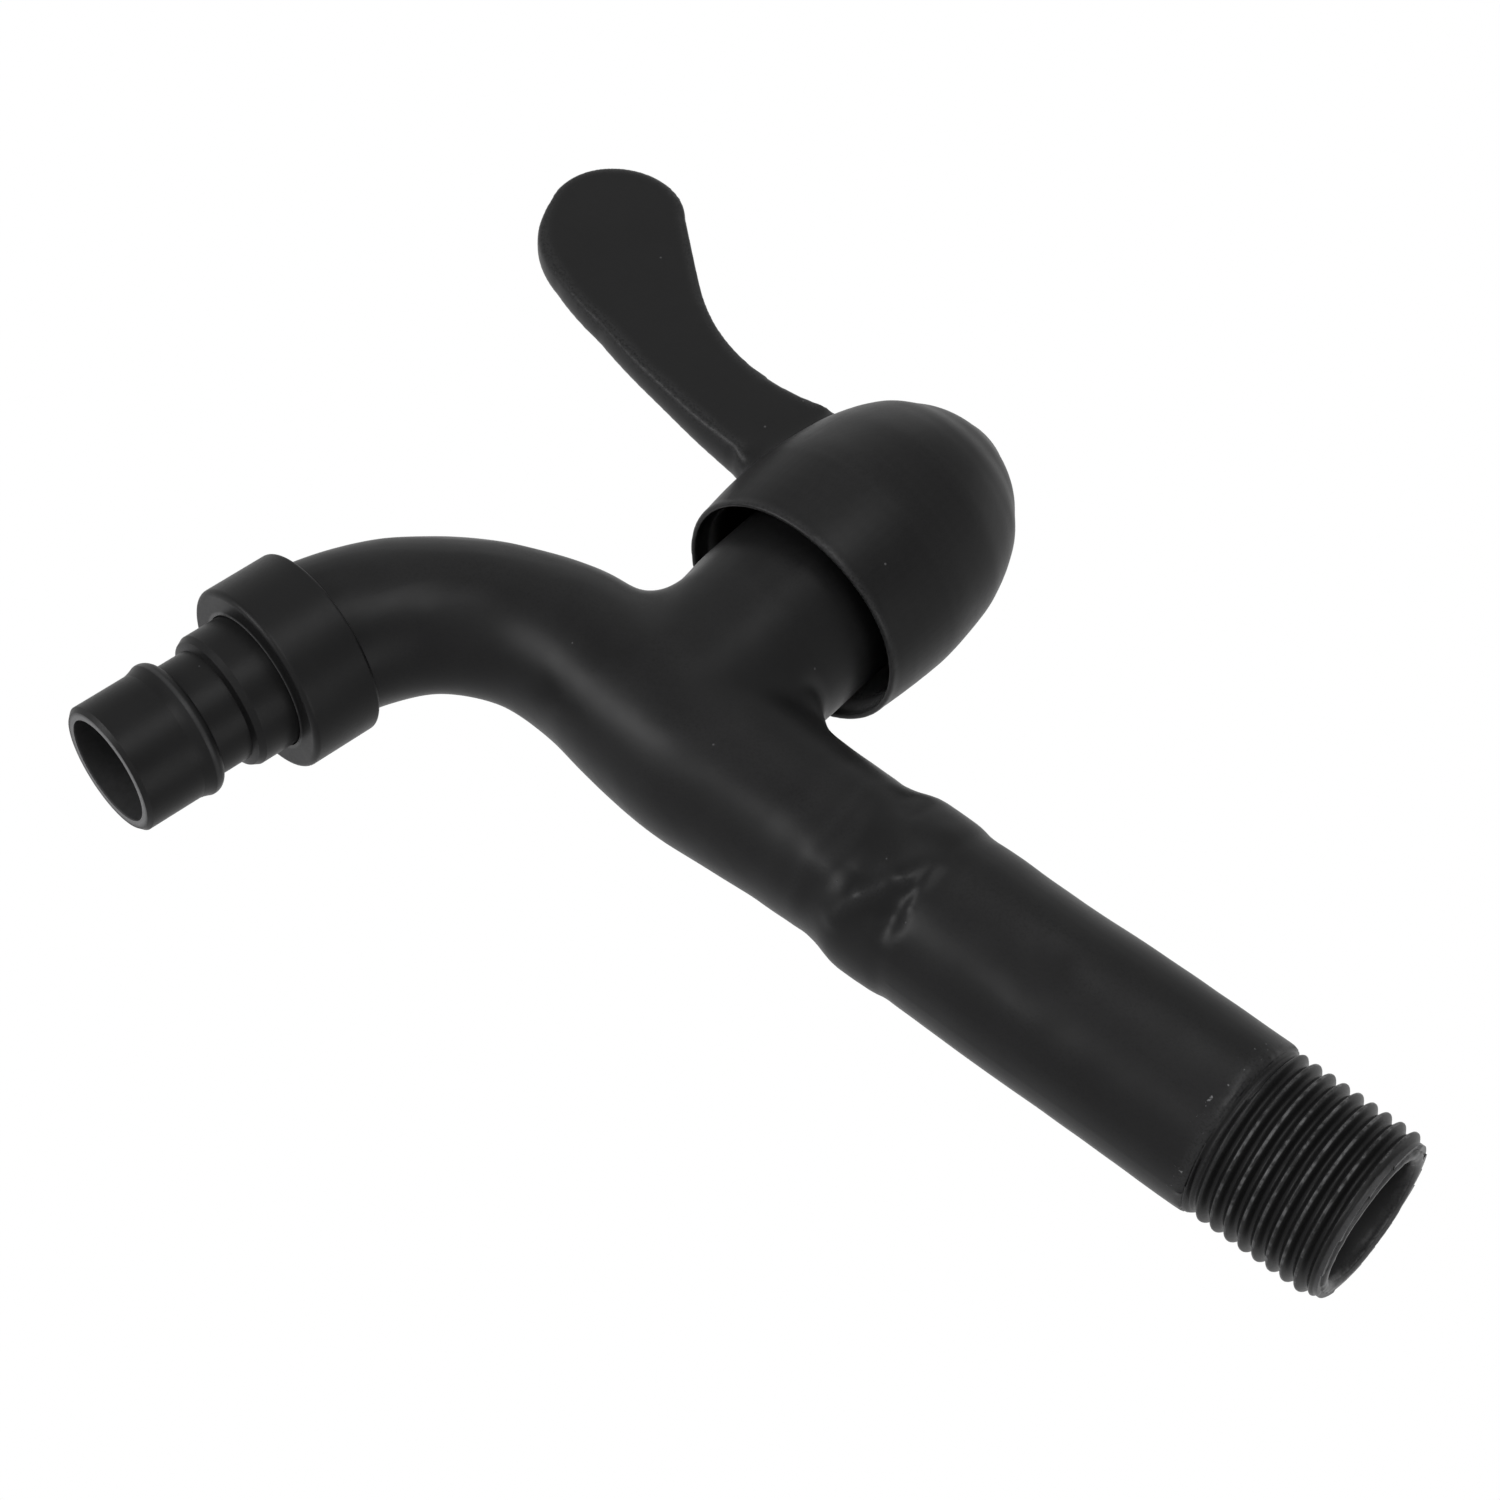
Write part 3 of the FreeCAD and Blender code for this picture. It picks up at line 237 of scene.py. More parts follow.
def coating(name, wear_and_painted_light=None, edge=True):
    finish = Finish(name)
    cloud = finish.noise(7.0, 3.0)
    grain = finish.noise(0.28, 3.0, 0.6)
    smear = finish.noise(2.2, 2.0)
    cells = finish.node("TexVoronoi", {}, {"Vector": finish.place, "Scale": 1.0 / (5.5 * MM)}, "Distance")
    dust = 1.0 - cells.between(0.018, 0.034)
    dark = finish.blend(cloud, grey(COAT_TONE * 0.8), grey(COAT_TONE * 1.3))
    colour = finish.blend(dust * 0.7, dark, grey(DUST_TONE))
    roughness = COAT_ROUGHNESS + (cloud - 0.5) * 0.10 + (grain - 0.5) * 0.16 + (smear - 0.5) * 0.06
    # Edges get a paler colour, which is a painted highlight, and a real drop in roughness.
    if edge:
        edge_highlight_mask = finish.node("Attribute", {"attribute_name": "edge"}, {}, "Fac") * grain.between(0.25, 0.6)
        colour = finish.blend(edge_highlight_mask * 0.5, colour, grey(EDGE_HIGHLIGHT_TONE))
        roughness = roughness - edge_highlight_mask * 0.06
    # The mask adds real wear and, in places, painted light: glints, highlights and light inside hollows.
    if wear_and_painted_light:
        mask = wear_and_painted_light(finish)
        colour = finish.blend(mask, colour, grey(WEAR_AND_PAINTED_LIGHT_TONE))
        roughness = roughness - mask * 0.12
    relief = finish.bump(smear, 0.012, 1.0)
    relief = finish.bump(grain, 0.004, 1.0, relief)
    relief = finish.bump(dust, 0.03, 1.0, relief)
    return finish.close(Base_Color=colour, Roughness=roughness, Normal=relief, Specular_IOR_Level=COAT_SHINE)


def inlet_wear_and_painted_light(finish):
    """Pale crests, partly worn and partly a painted glint, a pale end face, a rubbed edge round the bore,
    painted light inside the bore, and chips beside the thread.
    """
    along, away = finish.round_axis((0, 0, 0), (1, 0, 0))
    ragged = finish.noise(0.7, 4.0, 0.65)
    patch = finish.noise(1.4, 4.0, 0.65)
    # Pale patchy crests: partly worn coating, partly a painted glint.
    crest_wear_and_glint = away.between(10.42, 10.49) * (1.0 - along.between(13.6, 14.6)) * patch.between(0.42, 0.66)
    face = (1.0 - along.between(0.55, 0.80)) * away.between(7.75, 7.95) * (0.12 + 0.10 * ragged)
    edge = (1.0 - along.between(0.15, 0.5)) * (1.0 - away.between(7.66, 7.80)) * ragged.between(0.35, 0.6)
    # A paler tone inside the bore is painted light in its shade.
    bore = (1.0 - away.between(7.66, 7.75)) * along.between(0.4, 1.5)
    chips = along.between(17.7, 18.0) * (1.0 - along.between(19.2, 20.0)) * ragged.between(0.66, 0.71)
    return crest_wear_and_glint * 0.4 + face + edge * 0.3 + bore * 0.15 + chips * 0.8


OUTLET_TURN = math.radians(81.6)
OUTLET_WAY = (math.cos(OUTLET_TURN), 0.0, -math.sin(OUTLET_TURN))
OUTLET_TIP = (142.751, 0.0, -47.313)


def outlet_wear_and_painted_light(finish):
    """A pale rubbed end face on the nozzle, painted light inside its bore, and a thin painted highlight on
    the collar's lip.
    """
    along, away = finish.round_axis(OUTLET_TIP, OUTLET_WAY)
    ragged = finish.noise(0.9, 3.0, 0.6)
    face = along.between(-0.30, -0.10) * away.between(6.6, 6.8) * (1.0 - away.between(7.1, 7.7)) * 0.5
    # A paler tone inside the nozzle's bore is painted light in its shade.
    bore = (1.0 - away.between(6.72, 6.8)) * (0.10 + 0.10 * ragged)
    # The thin pale line on the collar's lip is a painted highlight.
    lip = along.between(-20.95, -20.7) * away.between(8.6, 8.75) * (1.0 - away.between(9.0, 9.3)) * 0.3
    return face + lip + bore


def dome_inside_painted_light(finish):
    """Painted light inside the dome: a paler tone that stands in for light bounced in under the rim."""
    along, away = finish.round_axis((NECK_X, 0, 0), (0, 0, 1))
    return (1.0 - away.between(14.7, 15.0)) * (1.0 - along.between(34.0, 37.0))


# The casting and the turned parts get wear and painted light, and the handle painted light only.
body_coat = coating("coating_on_the_casting", wear_and_painted_light=inlet_wear_and_painted_light)
# The handle's paler tone inside the dome is painted light.
handle_coat = coating("coating_on_the_handle", wear_and_painted_light=dome_inside_painted_light)
turned_coat = coating("coating_on_turned_parts", wear_and_painted_light=outlet_wear_and_painted_light, edge=False)

# %% [markdown]
# ## Points as arrays
#
# The castings are modelled by moving many points at once. NumPy does that quickly: the points of a
# piece come out as one array, a sum says how far each one moves, and the array goes back.

# %% Read and move points
def points_of(piece):
    places = np.empty(len(piece.data.vertices) * 3)
    piece.data.vertices.foreach_get("co", places)
    return places.reshape(-1, 3)


def normals_of(piece):
    normals = np.empty(len(piece.data.vertices) * 3)
    piece.data.vertex_normals.foreach_get("vector", normals)
    return normals.reshape(-1, 3)


def face_centres_of(piece):
    centres = np.empty(len(piece.data.polygons) * 3)
    piece.data.polygons.foreach_get("center", centres)
    return centres.reshape(-1, 3)


def triangles_of(piece):
    return sum(len(face.vertices) - 2 for face in piece.data.polygons)


def move_points(piece, places):
    piece.data.vertices.foreach_set("co", places.ravel())
    piece.data.update()


def swell(piece, depth):
    """Moves the skin outwards by a depth in millimetres, one for all or one for each point."""
    move_points(piece, points_of(piece) + normals_of(piece) * np.reshape(depth, (-1, 1)) * MM)


def ripple(piece, size, depth, seed):
    """Moves the points in and out by slow noise, as on the skin of a casting."""
    lumps = [noise.noise(Vector(p) / (size * MM) + Vector((seed, 0, 0))) for p in points_of(piece)]
    swell(piece, depth * np.array(lumps))

# %% [markdown]
# ## Soft steps and curves
#
# A change of shape must not begin or end with a visible line. So each one is multiplied by a weight
# that rises and falls smoothly from place to place.

# %% Weights that rise and fall
def ease(values, low, high):
    """0 under low, 1 over high, and a smooth step between them."""
    part = np.clip((values - low) / (high - low), 0, 1)
    return part * part * (3 - 2 * part)


def band(values, rise, fall):
    """0 outside a band and 1 inside it, with a soft step over each of its two ends."""
    return ease(values, *rise) * (1 - ease(values, *fall))


def soft_curve(values, stations, amounts, reach=3.0):
    """Joins amounts at stations by straight runs whose corners are rounded off."""
    grid = np.arange(stations[0] - 4 * reach, stations[-1] + 4 * reach, 0.25)
    window = np.exp(-(np.arange(-2 * reach, 2 * reach + 0.1, 0.25) / reach) ** 2)
    raw = np.pad(np.interp(grid, stations, amounts), len(window) // 2, mode="edge")
    return np.interp(values, grid, np.convolve(raw, window / window.sum(), mode="valid")[:len(grid)])

# %% [markdown]
# ## Corners and edges
#
# A point that lies outside the middle of its neighbours sits on an edge, and one that lies inside it
# sits in a corner. That one measure finds the corners that need a fillet, and the edges where the
# coating gets smoother and a painted highlight.

# %% Find the edges and relax the corners
def mean_of_neighbours(piece, values):
    """The mean of the neighbours' values at each point."""
    ends = np.empty(len(piece.data.edges) * 2, dtype=int)
    piece.data.edges.foreach_get("vertices", ends)
    ends = ends.reshape(-1, 2)
    values = np.asarray(values, dtype=float)
    total = np.zeros_like(values)
    count = np.zeros(len(values))
    for a, b in ((0, 1), (1, 0)):
        np.add.at(total, ends[:, a], values[ends[:, b]])
        np.add.at(count, ends[:, a], 1)
    count = np.maximum(count, 1)
    return total / (count[:, None] if values.ndim > 1 else count)


def bend_of(piece):
    """How far each point stands out from its neighbours, along its normal: edges are positive."""
    places = points_of(piece)
    return ((places - mean_of_neighbours(piece, places)) * normals_of(piece)).sum(1)


def mark_edges(piece, sharp, passes=3):
    """Writes the edge attribute that the coating reads for its painted edge highlight and smoother edges."""
    amount = np.clip(bend_of(piece) / (sharp * MM), 0, 1)
    for _ in range(passes):
        amount = 0.5 * amount + 0.5 * mean_of_neighbours(piece, amount)
    attribute = piece.data.attributes.new("edge", "FLOAT", "POINT")
    attribute.data.foreach_set("value", np.clip(amount * 1.5, 0, 1))


def smooth_where(piece, weights, passes, name):
    """Relaxes a piece where the weights say so."""
    group = piece.vertex_groups.new(name=name)
    for index in np.nonzero(weights > 0.02)[0]:
        group.add([int(index)], float(weights[index]), "REPLACE")
    apply_modifier(piece, "SMOOTH", factor=0.5, iterations=passes, vertex_group=name)
    print(name, "smoothed at", int((weights > 0.02).sum()), "points")


def coat_smoothly(piece, material):
    """Shades a piece smooth and gives it one material."""
    work_on(piece)
    bpy.ops.object.shade_smooth()
    piece.data.materials.clear()
    piece.data.materials.append(material)

# %% [markdown]
# ## The body casting
#
# Paint and casting round off every corner of the real body, and its hexagon is worn soft. A voxel
# remesh gives the same: it wraps the CAD solid in an even net, which a few smoothing passes relax.
# A copy of the node is used, because the solid itself stays as it is for the motion. The plain
# cylinder that stands for the thread is first drawn in, to make room for the real one.

# %% Soften the body
THREAD_END = 17.25
THREAD_CORE = 9.15
BODY_VOXEL = 0.56


def merged_copy(node, name):
    """Copies a node of the CAD model and merges the points that its faces share."""
    piece = bpy.data.objects.new(name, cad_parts[node].data.copy())
    bpy.context.scene.collection.objects.link(piece)
    work_on(piece)
    edit_all()
    bpy.ops.mesh.remove_doubles(threshold=0.002 * MM)
    bpy.ops.object.mode_set(mode="OBJECT")
    return piece


casting = merged_copy("valve_body", "tap_casting")
places = points_of(casting) / MM
radius = np.hypot(places[:, 1], places[:, 2])
crests = (places[:, 0] < THREAD_END) & (radius > 9.2) & (radius < 10.45)
places[crests, 1:] *= (THREAD_CORE / radius[crests])[:, None]
move_points(casting, places * MM)
apply_modifier(casting, "REMESH", mode="VOXEL", voxel_size=BODY_VOXEL * MM)

places = points_of(casting) / MM
x, z = places[:, 0], places[:, 2]
clear_of_joints = band(z, (-16.0, -12.0), (13.0, 15.0))    # spares the neck's top and the outlet boss
smooth_where(casting, clear_of_joints * ease(x, 60.6, 63.0), 40, "cast_skin")
smooth_where(casting, band(x, (61.5, 64.0), (70.0, 74.0)), 50, "hexagon")
neck_corner = band(x, (80.0, 86.0), (100.0, 107.0)) * ease(z, -3.0, 4.0)
smooth_where(casting, neck_corner * clear_of_joints, 80, "neck_corner")
flank = band(x, (84.0, 90.0), (114.0, 120.0)) * (1 - ease(z, -2.0, 3.0))
smooth_where(casting, flank * clear_of_joints, 80, "flank")
apply_modifier(casting, "SMOOTH", factor=0.5, iterations=2)
print("casting:", len(casting.data.polygons), "faces", triangles_of(casting), "triangles")

# %% [markdown]
# ## Places round the shank
#
# The worn places lie on the side of the shank that the camera sees. So a place on it is given by its
# distance along the inlet axis and its turn round that axis, counted from the middle of that side.
# The faces there are split first, so that small forms have enough points to show in.

# %% Measure round the shank
SHOWN_Y, SHOWN_Z = 0.860, -0.511    # the middle of the side that the camera sees


def round_shank(x, degrees, radius):
    """A place on the shank, by its turn from the middle of the side that is seen."""
    turn = math.radians(degrees)
    y = math.cos(turn) * SHOWN_Y - math.sin(turn) * SHOWN_Z
    z = math.cos(turn) * SHOWN_Z + math.sin(turn) * SHOWN_Y
    return (x, y * radius, z * radius)


def facing_of(places):
    """The cosine and the sine of each point's turn from the middle of the side that is seen."""
    y, z = places[:, 1], places[:, 2]
    radius = np.maximum(np.hypot(y, z), 1.0)
    return (y * SHOWN_Y + z * SHOWN_Z) / radius, (z * SHOWN_Y - y * SHOWN_Z) / radius


def refine(piece, chosen):
    """Splits the chosen faces into four, where finer modelling follows."""
    work_on(piece)
    bpy.context.tool_settings.mesh_select_mode = (False, False, True)
    piece.data.polygons.foreach_set("select", chosen)
    bpy.ops.object.mode_set(mode="EDIT")
    bpy.ops.mesh.subdivide(number_cuts=1)
    bpy.ops.object.mode_set(mode="OBJECT")
    bpy.context.tool_settings.mesh_select_mode = (True, False, False)


centres = face_centres_of(casting) / MM
on_hexagon = (centres[:, 0] > 57.0) & (centres[:, 0] < 69.0) & (facing_of(centres)[0] > 0.1)
on_hexagon = on_hexagon & (np.hypot(centres[:, 1], centres[:, 2]) > 9.0)
refine(casting, on_hexagon)
print("split", int(on_hexagon.sum()), "faces")

# %% [markdown]
# ## The worn side of the hexagon
#
# On the side that is seen, the hexagon has lost its corners. Its middle is one flat facet that falls
# to the body over a soft shoulder, and only towards the top and the bottom do the old corners stand
# proud. Both outlines are drawn as a radius along the shank, and the turn chooses between them.

# %% Form the worn hexagon
SHOULDER_TURN = (-90, -60, -38, -16, -6, 4, 14, 30, 60, 90)
SHOULDER_X = (66, 66.6, 66.2, 65.0, 64.3, 64.2, 64.4, 65, 65.4, 66)
FACET_RADIUS, FACET_RISE, FACET_FALL = 10.66, 0.12, 0.92
CORNER_X = (57.0, 58.6, 59.4, 60.0, 61.0, 65.5, 66.5, 67.5, 68.5, 69.5, 71.0, 74.0)
CORNER_RADIUS = (10.58, 10.60, 10.64, 10.78, 10.94, 10.96, 10.86, 10.62, 10.30, 10.06, 9.86, 9.82)

places = points_of(casting) / MM
x = places[:, 0]
radius = np.hypot(places[:, 1], places[:, 2])
facing, height = facing_of(places)
turn_either_way = np.degrees(np.arccos(np.clip(facing, -1, 1)))
turn_upwards = np.degrees(np.arctan2(height, facing))
shoulder = np.interp(turn_upwards, SHOULDER_TURN, SHOULDER_X)
slope = 4.2 + 0.6 * ease(turn_upwards, 20.0, 50.0)
flat = FACET_RADIUS + FACET_RISE * ease(x, 59.2, 61.5) - FACET_FALL * ease((x - shoulder) / slope, -0.15, 1.0)
corner = np.interp(x + 0.25 - 0.25 * height, CORNER_X, CORNER_RADIUS)
wanted = flat + (corner - flat) * ease(turn_either_way, 35.0, 80.0)
shown = (1 - ease(turn_either_way, 100.0, 118.0)) * (radius > 9.0)
shown = shown * ease(x, 57.0, 58.2) * (1 - ease(x, 71.5, 73.5))
moved = radius + (wanted - radius) * shown
places[:, 1:] *= (moved / np.maximum(radius, 1.0))[:, None]
move_points(casting, places * MM)
apply_modifier(casting, "SMOOTH", factor=0.5, iterations=1)
print("hexagon: moved by up to", round(float(np.abs(moved - radius).max()), 2), "mm")

# %% [markdown]
# ## Dents and ridges
#
# Smaller marks are pressed in as a thumb would do it in clay: each runs from one place to another,
# reaches so far to its sides, and pushes outwards or inwards. The marks by the neck are given as
# points in space, and those on the shank by their turn round it.

# %% List the marks
NECK_MARKS = [      # from, to, reach, push
    ((86.0, -4.5, 10.2), (86.0, 4.5, 10.2), 2.6, 0.60),                 # neck corner, towards the inlet
    ((87.5, 5.5, 10.6), (87.5, 6.5, 10.6), 2.2, 0.20),
    ((87.5, -5.5, 10.6), (87.5, -6.5, 10.6), 2.2, 0.20),
    ((111.5, 4.2, 10.5), (108.6, 5.0, 14.5), 3.2, -0.62),               # neck corner, towards the spout
    ((111.5, -4.2, 10.5), (108.6, -5.0, 14.5), 3.2, -0.62),
    ((111.5, 4.1, -7.8), (111.5, 4.1, -7.8), 2.0, -0.12),
]
SHANK_MARKS = [     # from x and turn, to x and turn, radius, reach, push
    ((66.0, -38), (64.2, -16), 10.8, 1.3, 0.30),                        # the ridge over the hexagon
    ((64.2, -16), (62.7, -6), 10.8, 1.3, 0.48),
    ((61.3, 4), (61.0, 7), 10.8, 1.1, 0.40),
    ((61.0, 7), (60.1, 22), 10.8, 0.7, 0.26),
    ((63.0, -42), (60.6, -48), 10.8, 2.8, -0.14),
    ((60.6, -4), (60.3, -16), 10.7, 1.9, -0.85),                        # the pocket under the ridge
    ((60.3, -16), (60.0, -27), 10.7, 1.3, -0.35),
    ((59.0, 26), (58.8, -6), 10.7, 0.6, 0.22),
    ((64.0, 14), (61.8, 48), 10.8, 1.8, 0.12),                          # the rest of the facet
    ((66.2, -4), (65.8, 14), 10.4, 2.0, -0.30),
    ((66.3, 50), (66.3, 64), 10.5, 1.4, -0.25),
    ((69.6, -16), (71.0, -16), 10.0, 1.7, 0.20),
    ((44.0, 80), (49.0, 80), 10.7, 4.5, -0.22),                         # dents along the shank
    ((33.0, 80), (38.0, 80), 10.7, 4.5, 0.08),
    ((43.5, 18), (41.8, 22), 10.7, 2.4, -0.14),
    ((40.5, -18), (42.5, -18), 10.7, 2.2, 0.10),
    ((37.5, 22), (38.5, 22), 10.7, 2.2, 0.08),
]
CASTING_MARKS = NECK_MARKS + [
    (round_shank(*start, radius), round_shank(*end, radius), reach, push)
    for start, end, radius, reach, push in SHANK_MARKS]
print("marks:", len(CASTING_MARKS))

# %% [markdown]
# The smoothing has drawn the skin in a little, so it is lifted again as the marks are pressed in. Two
# ripples, one slow and one quicker, then take away the last evenness.

# %% Press the marks into the casting
def thumb_marks(places, marks):
    """The depth in millimetres that the marks give each point."""
    depth = np.zeros(len(places))
    for start, end, reach, push in marks:
        start, end = np.array(start), np.array(end)
        run = end - start
        along = np.clip((places - start) @ run / max(run @ run, 1e-9), 0, 1)
        away = np.linalg.norm(places - start - along[:, None] * run, axis=1)
        depth += push * np.exp(-(away / reach) ** 2)
    return depth


places = points_of(casting) / MM
x, z = places[:, 0], places[:, 2]
depth = thumb_marks(places, CASTING_MARKS)
lift = 0.16 + 0.04 * ease(x, 60.6, 63.0) * (1 - ease(z, 13.0, 15.0))
lift = lift + 0.14 * band(x, (71.0, 73.0), (75.0, 79.0))
swell(casting, lift + depth)
smooth_where(casting, band(x, (57.5, 58.5), (67.0, 68.0)) * (facing_of(places)[0] > 0.1), 14, "marks")
ripple(casting, 9.0, 0.12, 3.0)
ripple(casting, 4.5, 0.045, 7.0)
mark_edges(casting, 0.045)
coat_smoothly(casting, body_coat)
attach(casting, "tap")
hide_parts("valve_body")
print("marks push from", round(depth.min(), 2), "to", round(depth.max(), 2), "mm")
print("casting:", triangles_of(casting), "triangles")

# %% [markdown]
# ## The inlet thread
#
# The thread is what a hand would feel first, so it is real geometry and not a pattern. One tooth of
# a Whitworth form is drawn as a chain of points, each by its place along the shank and its radius.

# %% Draw one tooth
PITCH = 1.814                           # 14 threads an inch
THREAD_CUTS = ((0.12, -1), (17.1, 1))   # where its two ends are, and which way is outside
TOOTH = [(0.0, 9.66), (0.16, 9.69), (0.30, 9.80), (0.50, 10.07), (0.66, 10.35), (0.74, 10.46),
         (0.83, 10.51), (0.984, 10.51), (1.074, 10.46), (1.154, 10.35), (1.314, 10.07), (1.514, 9.80),
         (1.654, 9.69), (1.814, 9.66)]
THREAD_START = -1.5 * PITCH - 0.62      # well outside the end, and in step with the crests seen

clear_selection()
bpy.ops.mesh.primitive_plane_add(size=0.1 * MM, location=(THREAD_START * MM, TOOTH[0][1] * MM, 0))
thread = bpy.context.object
thread.name = "inlet_thread"
bpy.ops.object.transform_apply(location=True, rotation=True, scale=True)
edit_all()
bpy.ops.mesh.merge(type="CENTER")
for before, after in zip(TOOTH, TOOTH[1:]):
    run = ((after[0] - before[0]) * MM, (after[1] - before[1]) * MM, 0)
    bpy.ops.mesh.extrude_region_move(TRANSFORM_OT_translate={"value": run})
bpy.ops.object.mode_set(mode="OBJECT")
print("tooth:", len(thread.data.vertices), "points")

# %% [markdown]
# The Screw modifier turns the tooth round the inlet axis, and it climbs by one pitch a turn. At the
# free end the crests are held down to a plain ring. At the other end the roots rise until the thread
# runs out, and there the die has left its fine lines. Two cuts then square off the ends.

# %% Turn it into a thread
END_RING_X, END_RING_RADIUS, END_SLOPE = 0.75, 9.78, 1.8
RUN_OUT_X, RUN_OUT_LENGTH, RUN_OUT_RADIUS, RUN_OUT_RISE = 14.9, 2.6, 9.62, 0.72
LINE_DEPTH, LINE_PITCH = 0.07, 0.62

apply_modifier(thread, "SCREW", axis="X", angle=2 * math.pi, screw_offset=PITCH * MM, iterations=12,
               steps=96, render_steps=96, use_merge_vertices=False, use_normal_calculate=True)
work_on(thread)
edit_all()
bpy.ops.mesh.remove_doubles(threshold=0.002 * MM)
bpy.ops.object.mode_set(mode="OBJECT")

places = points_of(thread) / MM
x = places[:, 0]
radius = np.hypot(places[:, 1], places[:, 2])
highest = END_RING_RADIUS + np.clip(x - END_RING_X, 0, 5) * END_SLOPE
lowest = RUN_OUT_RADIUS + np.clip((x - RUN_OUT_X) / RUN_OUT_LENGTH, 0, 1) * RUN_OUT_RISE
fine_lines = LINE_DEPTH * np.cos(x * 2 * math.pi / LINE_PITCH) * ease(x, 15.0, 15.8)
held = np.maximum(radius, lowest) - fine_lines
held = np.where(x < END_RING_X, END_RING_RADIUS, np.minimum(held, highest))
places[:, 1:] *= (held / radius)[:, None]
move_points(thread, places * MM)

for plane, outward in THREAD_CUTS:
    edit_all()
    bpy.ops.mesh.bisect(plane_co=(plane * MM, 0, 0), plane_no=(outward, 0, 0), clear_outer=True)
    bpy.ops.object.mode_set(mode="OBJECT")
print("thread:", len(thread.data.polygons), "faces, open at both ends")

# %% [markdown]
# The thread is still an open skin. Its two rims are drawn in towards the axis, where the casting
# hides them, and a bridge of faces between them closes the piece.

# %% Close the thread
work_on(thread)
bpy.ops.object.mode_set(mode="EDIT")
bpy.ops.mesh.select_mode(type="EDGE")
bpy.ops.mesh.select_all(action="DESELECT")
bpy.ops.mesh.select_non_manifold(extend=False, use_wire=False, use_multi_face=False,
                                 use_non_contiguous=False, use_verts=False)
bpy.ops.mesh.extrude_region_move()
bpy.ops.transform.resize(value=(1, 0.88, 0.88), center_override=(8 * MM, 0, 0))
bpy.ops.mesh.bridge_edge_loops()
bpy.ops.mesh.select_all(action="SELECT")
bpy.ops.mesh.normals_make_consistent(inside=False)
bpy.ops.object.mode_set(mode="OBJECT")
bpy.ops.object.shade_smooth_by_angle(angle=math.radians(50))
thread.data.materials.append(body_coat)
mark_edges(thread, 0.05, 1)
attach(thread, "tap")
print("thread:", len(thread.data.polygons), "faces")

# %% [markdown]
# ## The handle casting
#
# Dome and lever are one casting, and the coating fills the corner between them with a soft fillet.
# The copy is remeshed as the body is, and then only the hollow corner is smoothed, many times over,
# until it has flowed into that fillet.

# %% Soften the handle
HANDLE_VOXEL = 0.35

handle = merged_copy("handle", "handle_casting")
apply_modifier(handle, "REMESH", mode="VOXEL", voxel_size=HANDLE_VOXEL * MM)
places = points_of(handle) / MM
hollow = bend_of(handle) < -0.012 * MM
outside = (places[:, 2] > 26.0) & (np.hypot(places[:, 0] - NECK_X, places[:, 1]) > 12.0)
hollow = (hollow & outside).astype(float)
for _ in range(16):     # the line of hollow points grows into a band
    hollow = np.clip(np.maximum(hollow * 0.999, mean_of_neighbours(handle, hollow) * 1.7), 0, 1)
smooth_where(handle, hollow, 220, "corner")
apply_modifier(handle, "SMOOTH", factor=0.5, iterations=2)
print("handle:", len(handle.data.polygons), "faces", triangles_of(handle), "triangles")

# %% [markdown]
# ## The lever and the rim
#
# The blade of the real lever is thinner than the solid, wider along its middle and narrower towards
# its end. Slabs cut across it give its lowest and highest point at each station, so every point knows
# its share of the height, and each edge can move without the other. The lower edge is then swollen
# to a round, the lip of the dome's rim thinned from the inside, and the rim moved towards the lever.

# %% Fit the lever and the rim
LEVER_X = (114.0, 120.0, 128.0, 139.0, 145.0, 152.0, 160.0, 166.0)
UPPER_RISE = (0, 0, 0.25, 0.35, 0.25, 0.2, 0.0, 0.0)    # each side gets as much thinner
LOWER_DROP = (0, 0.0, 0.6, 0.7, 0.4, -0.3, -0.5, 0.0)
LOWER_ROUND = 0.5       # how far the middle of the lower edge stands out
FIN_HALF = 2.7          # half the thickness of the lever
RIM_RADIUS = 15.75
RIM_THINNER = 0.55      # the share of the lip's thickness that goes
RIM_SHIFT = 0.3

places = points_of(handle) / MM
x, z = places[:, 0], places[:, 2]
fin = ease(x, 117.0, 120.0)
stations = np.arange(117.0, 172.0, 1.0)
low, high = [], []
for station in stations:
    slab = z[np.abs(x - station) < 0.8]
    low.append(slab.min() if len(slab) else low[-1])
    high.append(slab.max() if len(slab) else high[-1])
low, high = np.interp(x, stations, low), np.interp(x, stations, high)
share = np.clip((z - low) / (high - low), 0, 1)

rise = soft_curve(x, LEVER_X, UPPER_RISE) * fin
drop = soft_curve(x, LEVER_X, LOWER_DROP) * fin
across = np.clip(1 - (places[:, 1] / (FIN_HALF - 0.1)) ** 2, 0, 1)
bulge = LOWER_ROUND * fin * (1 - ease(share, 0.02, 0.12)) * across
places[:, 1] *= 1 - rise / FIN_HALF
places[:, 2] += rise * share - drop * (1 - share) - bulge

radius = np.hypot(places[:, 0] - NECK_X, places[:, 1])
lip = (1 - ease(places[:, 2], 23.4, 25.4)) * (radius < 15.7)
wider = (RIM_RADIUS - (RIM_RADIUS - radius) * (1 - RIM_THINNER * lip)) / np.maximum(radius, 1.0)
places[:, 0] = NECK_X + (places[:, 0] - NECK_X) * wider
places[:, 1] *= wider
by_rim = (1 - ease(places[:, 2], 24.0, 44.0)) * (radius > 13.0)
places[:, 0] += RIM_SHIFT * by_rim * (1 - ease(places[:, 0], 118.0, 125.0))
move_points(handle, places * MM)
smooth_where(handle, fin * (1 - ease(share, 0.18, 0.25)), 3, "lever_line")

# %% [markdown]
# ## The dome
#
# The real dome is fuller on its flanks than the turned solid, and flatter round the plug. The tilt of
# a point, seen from inside the dome, says how much it moves.

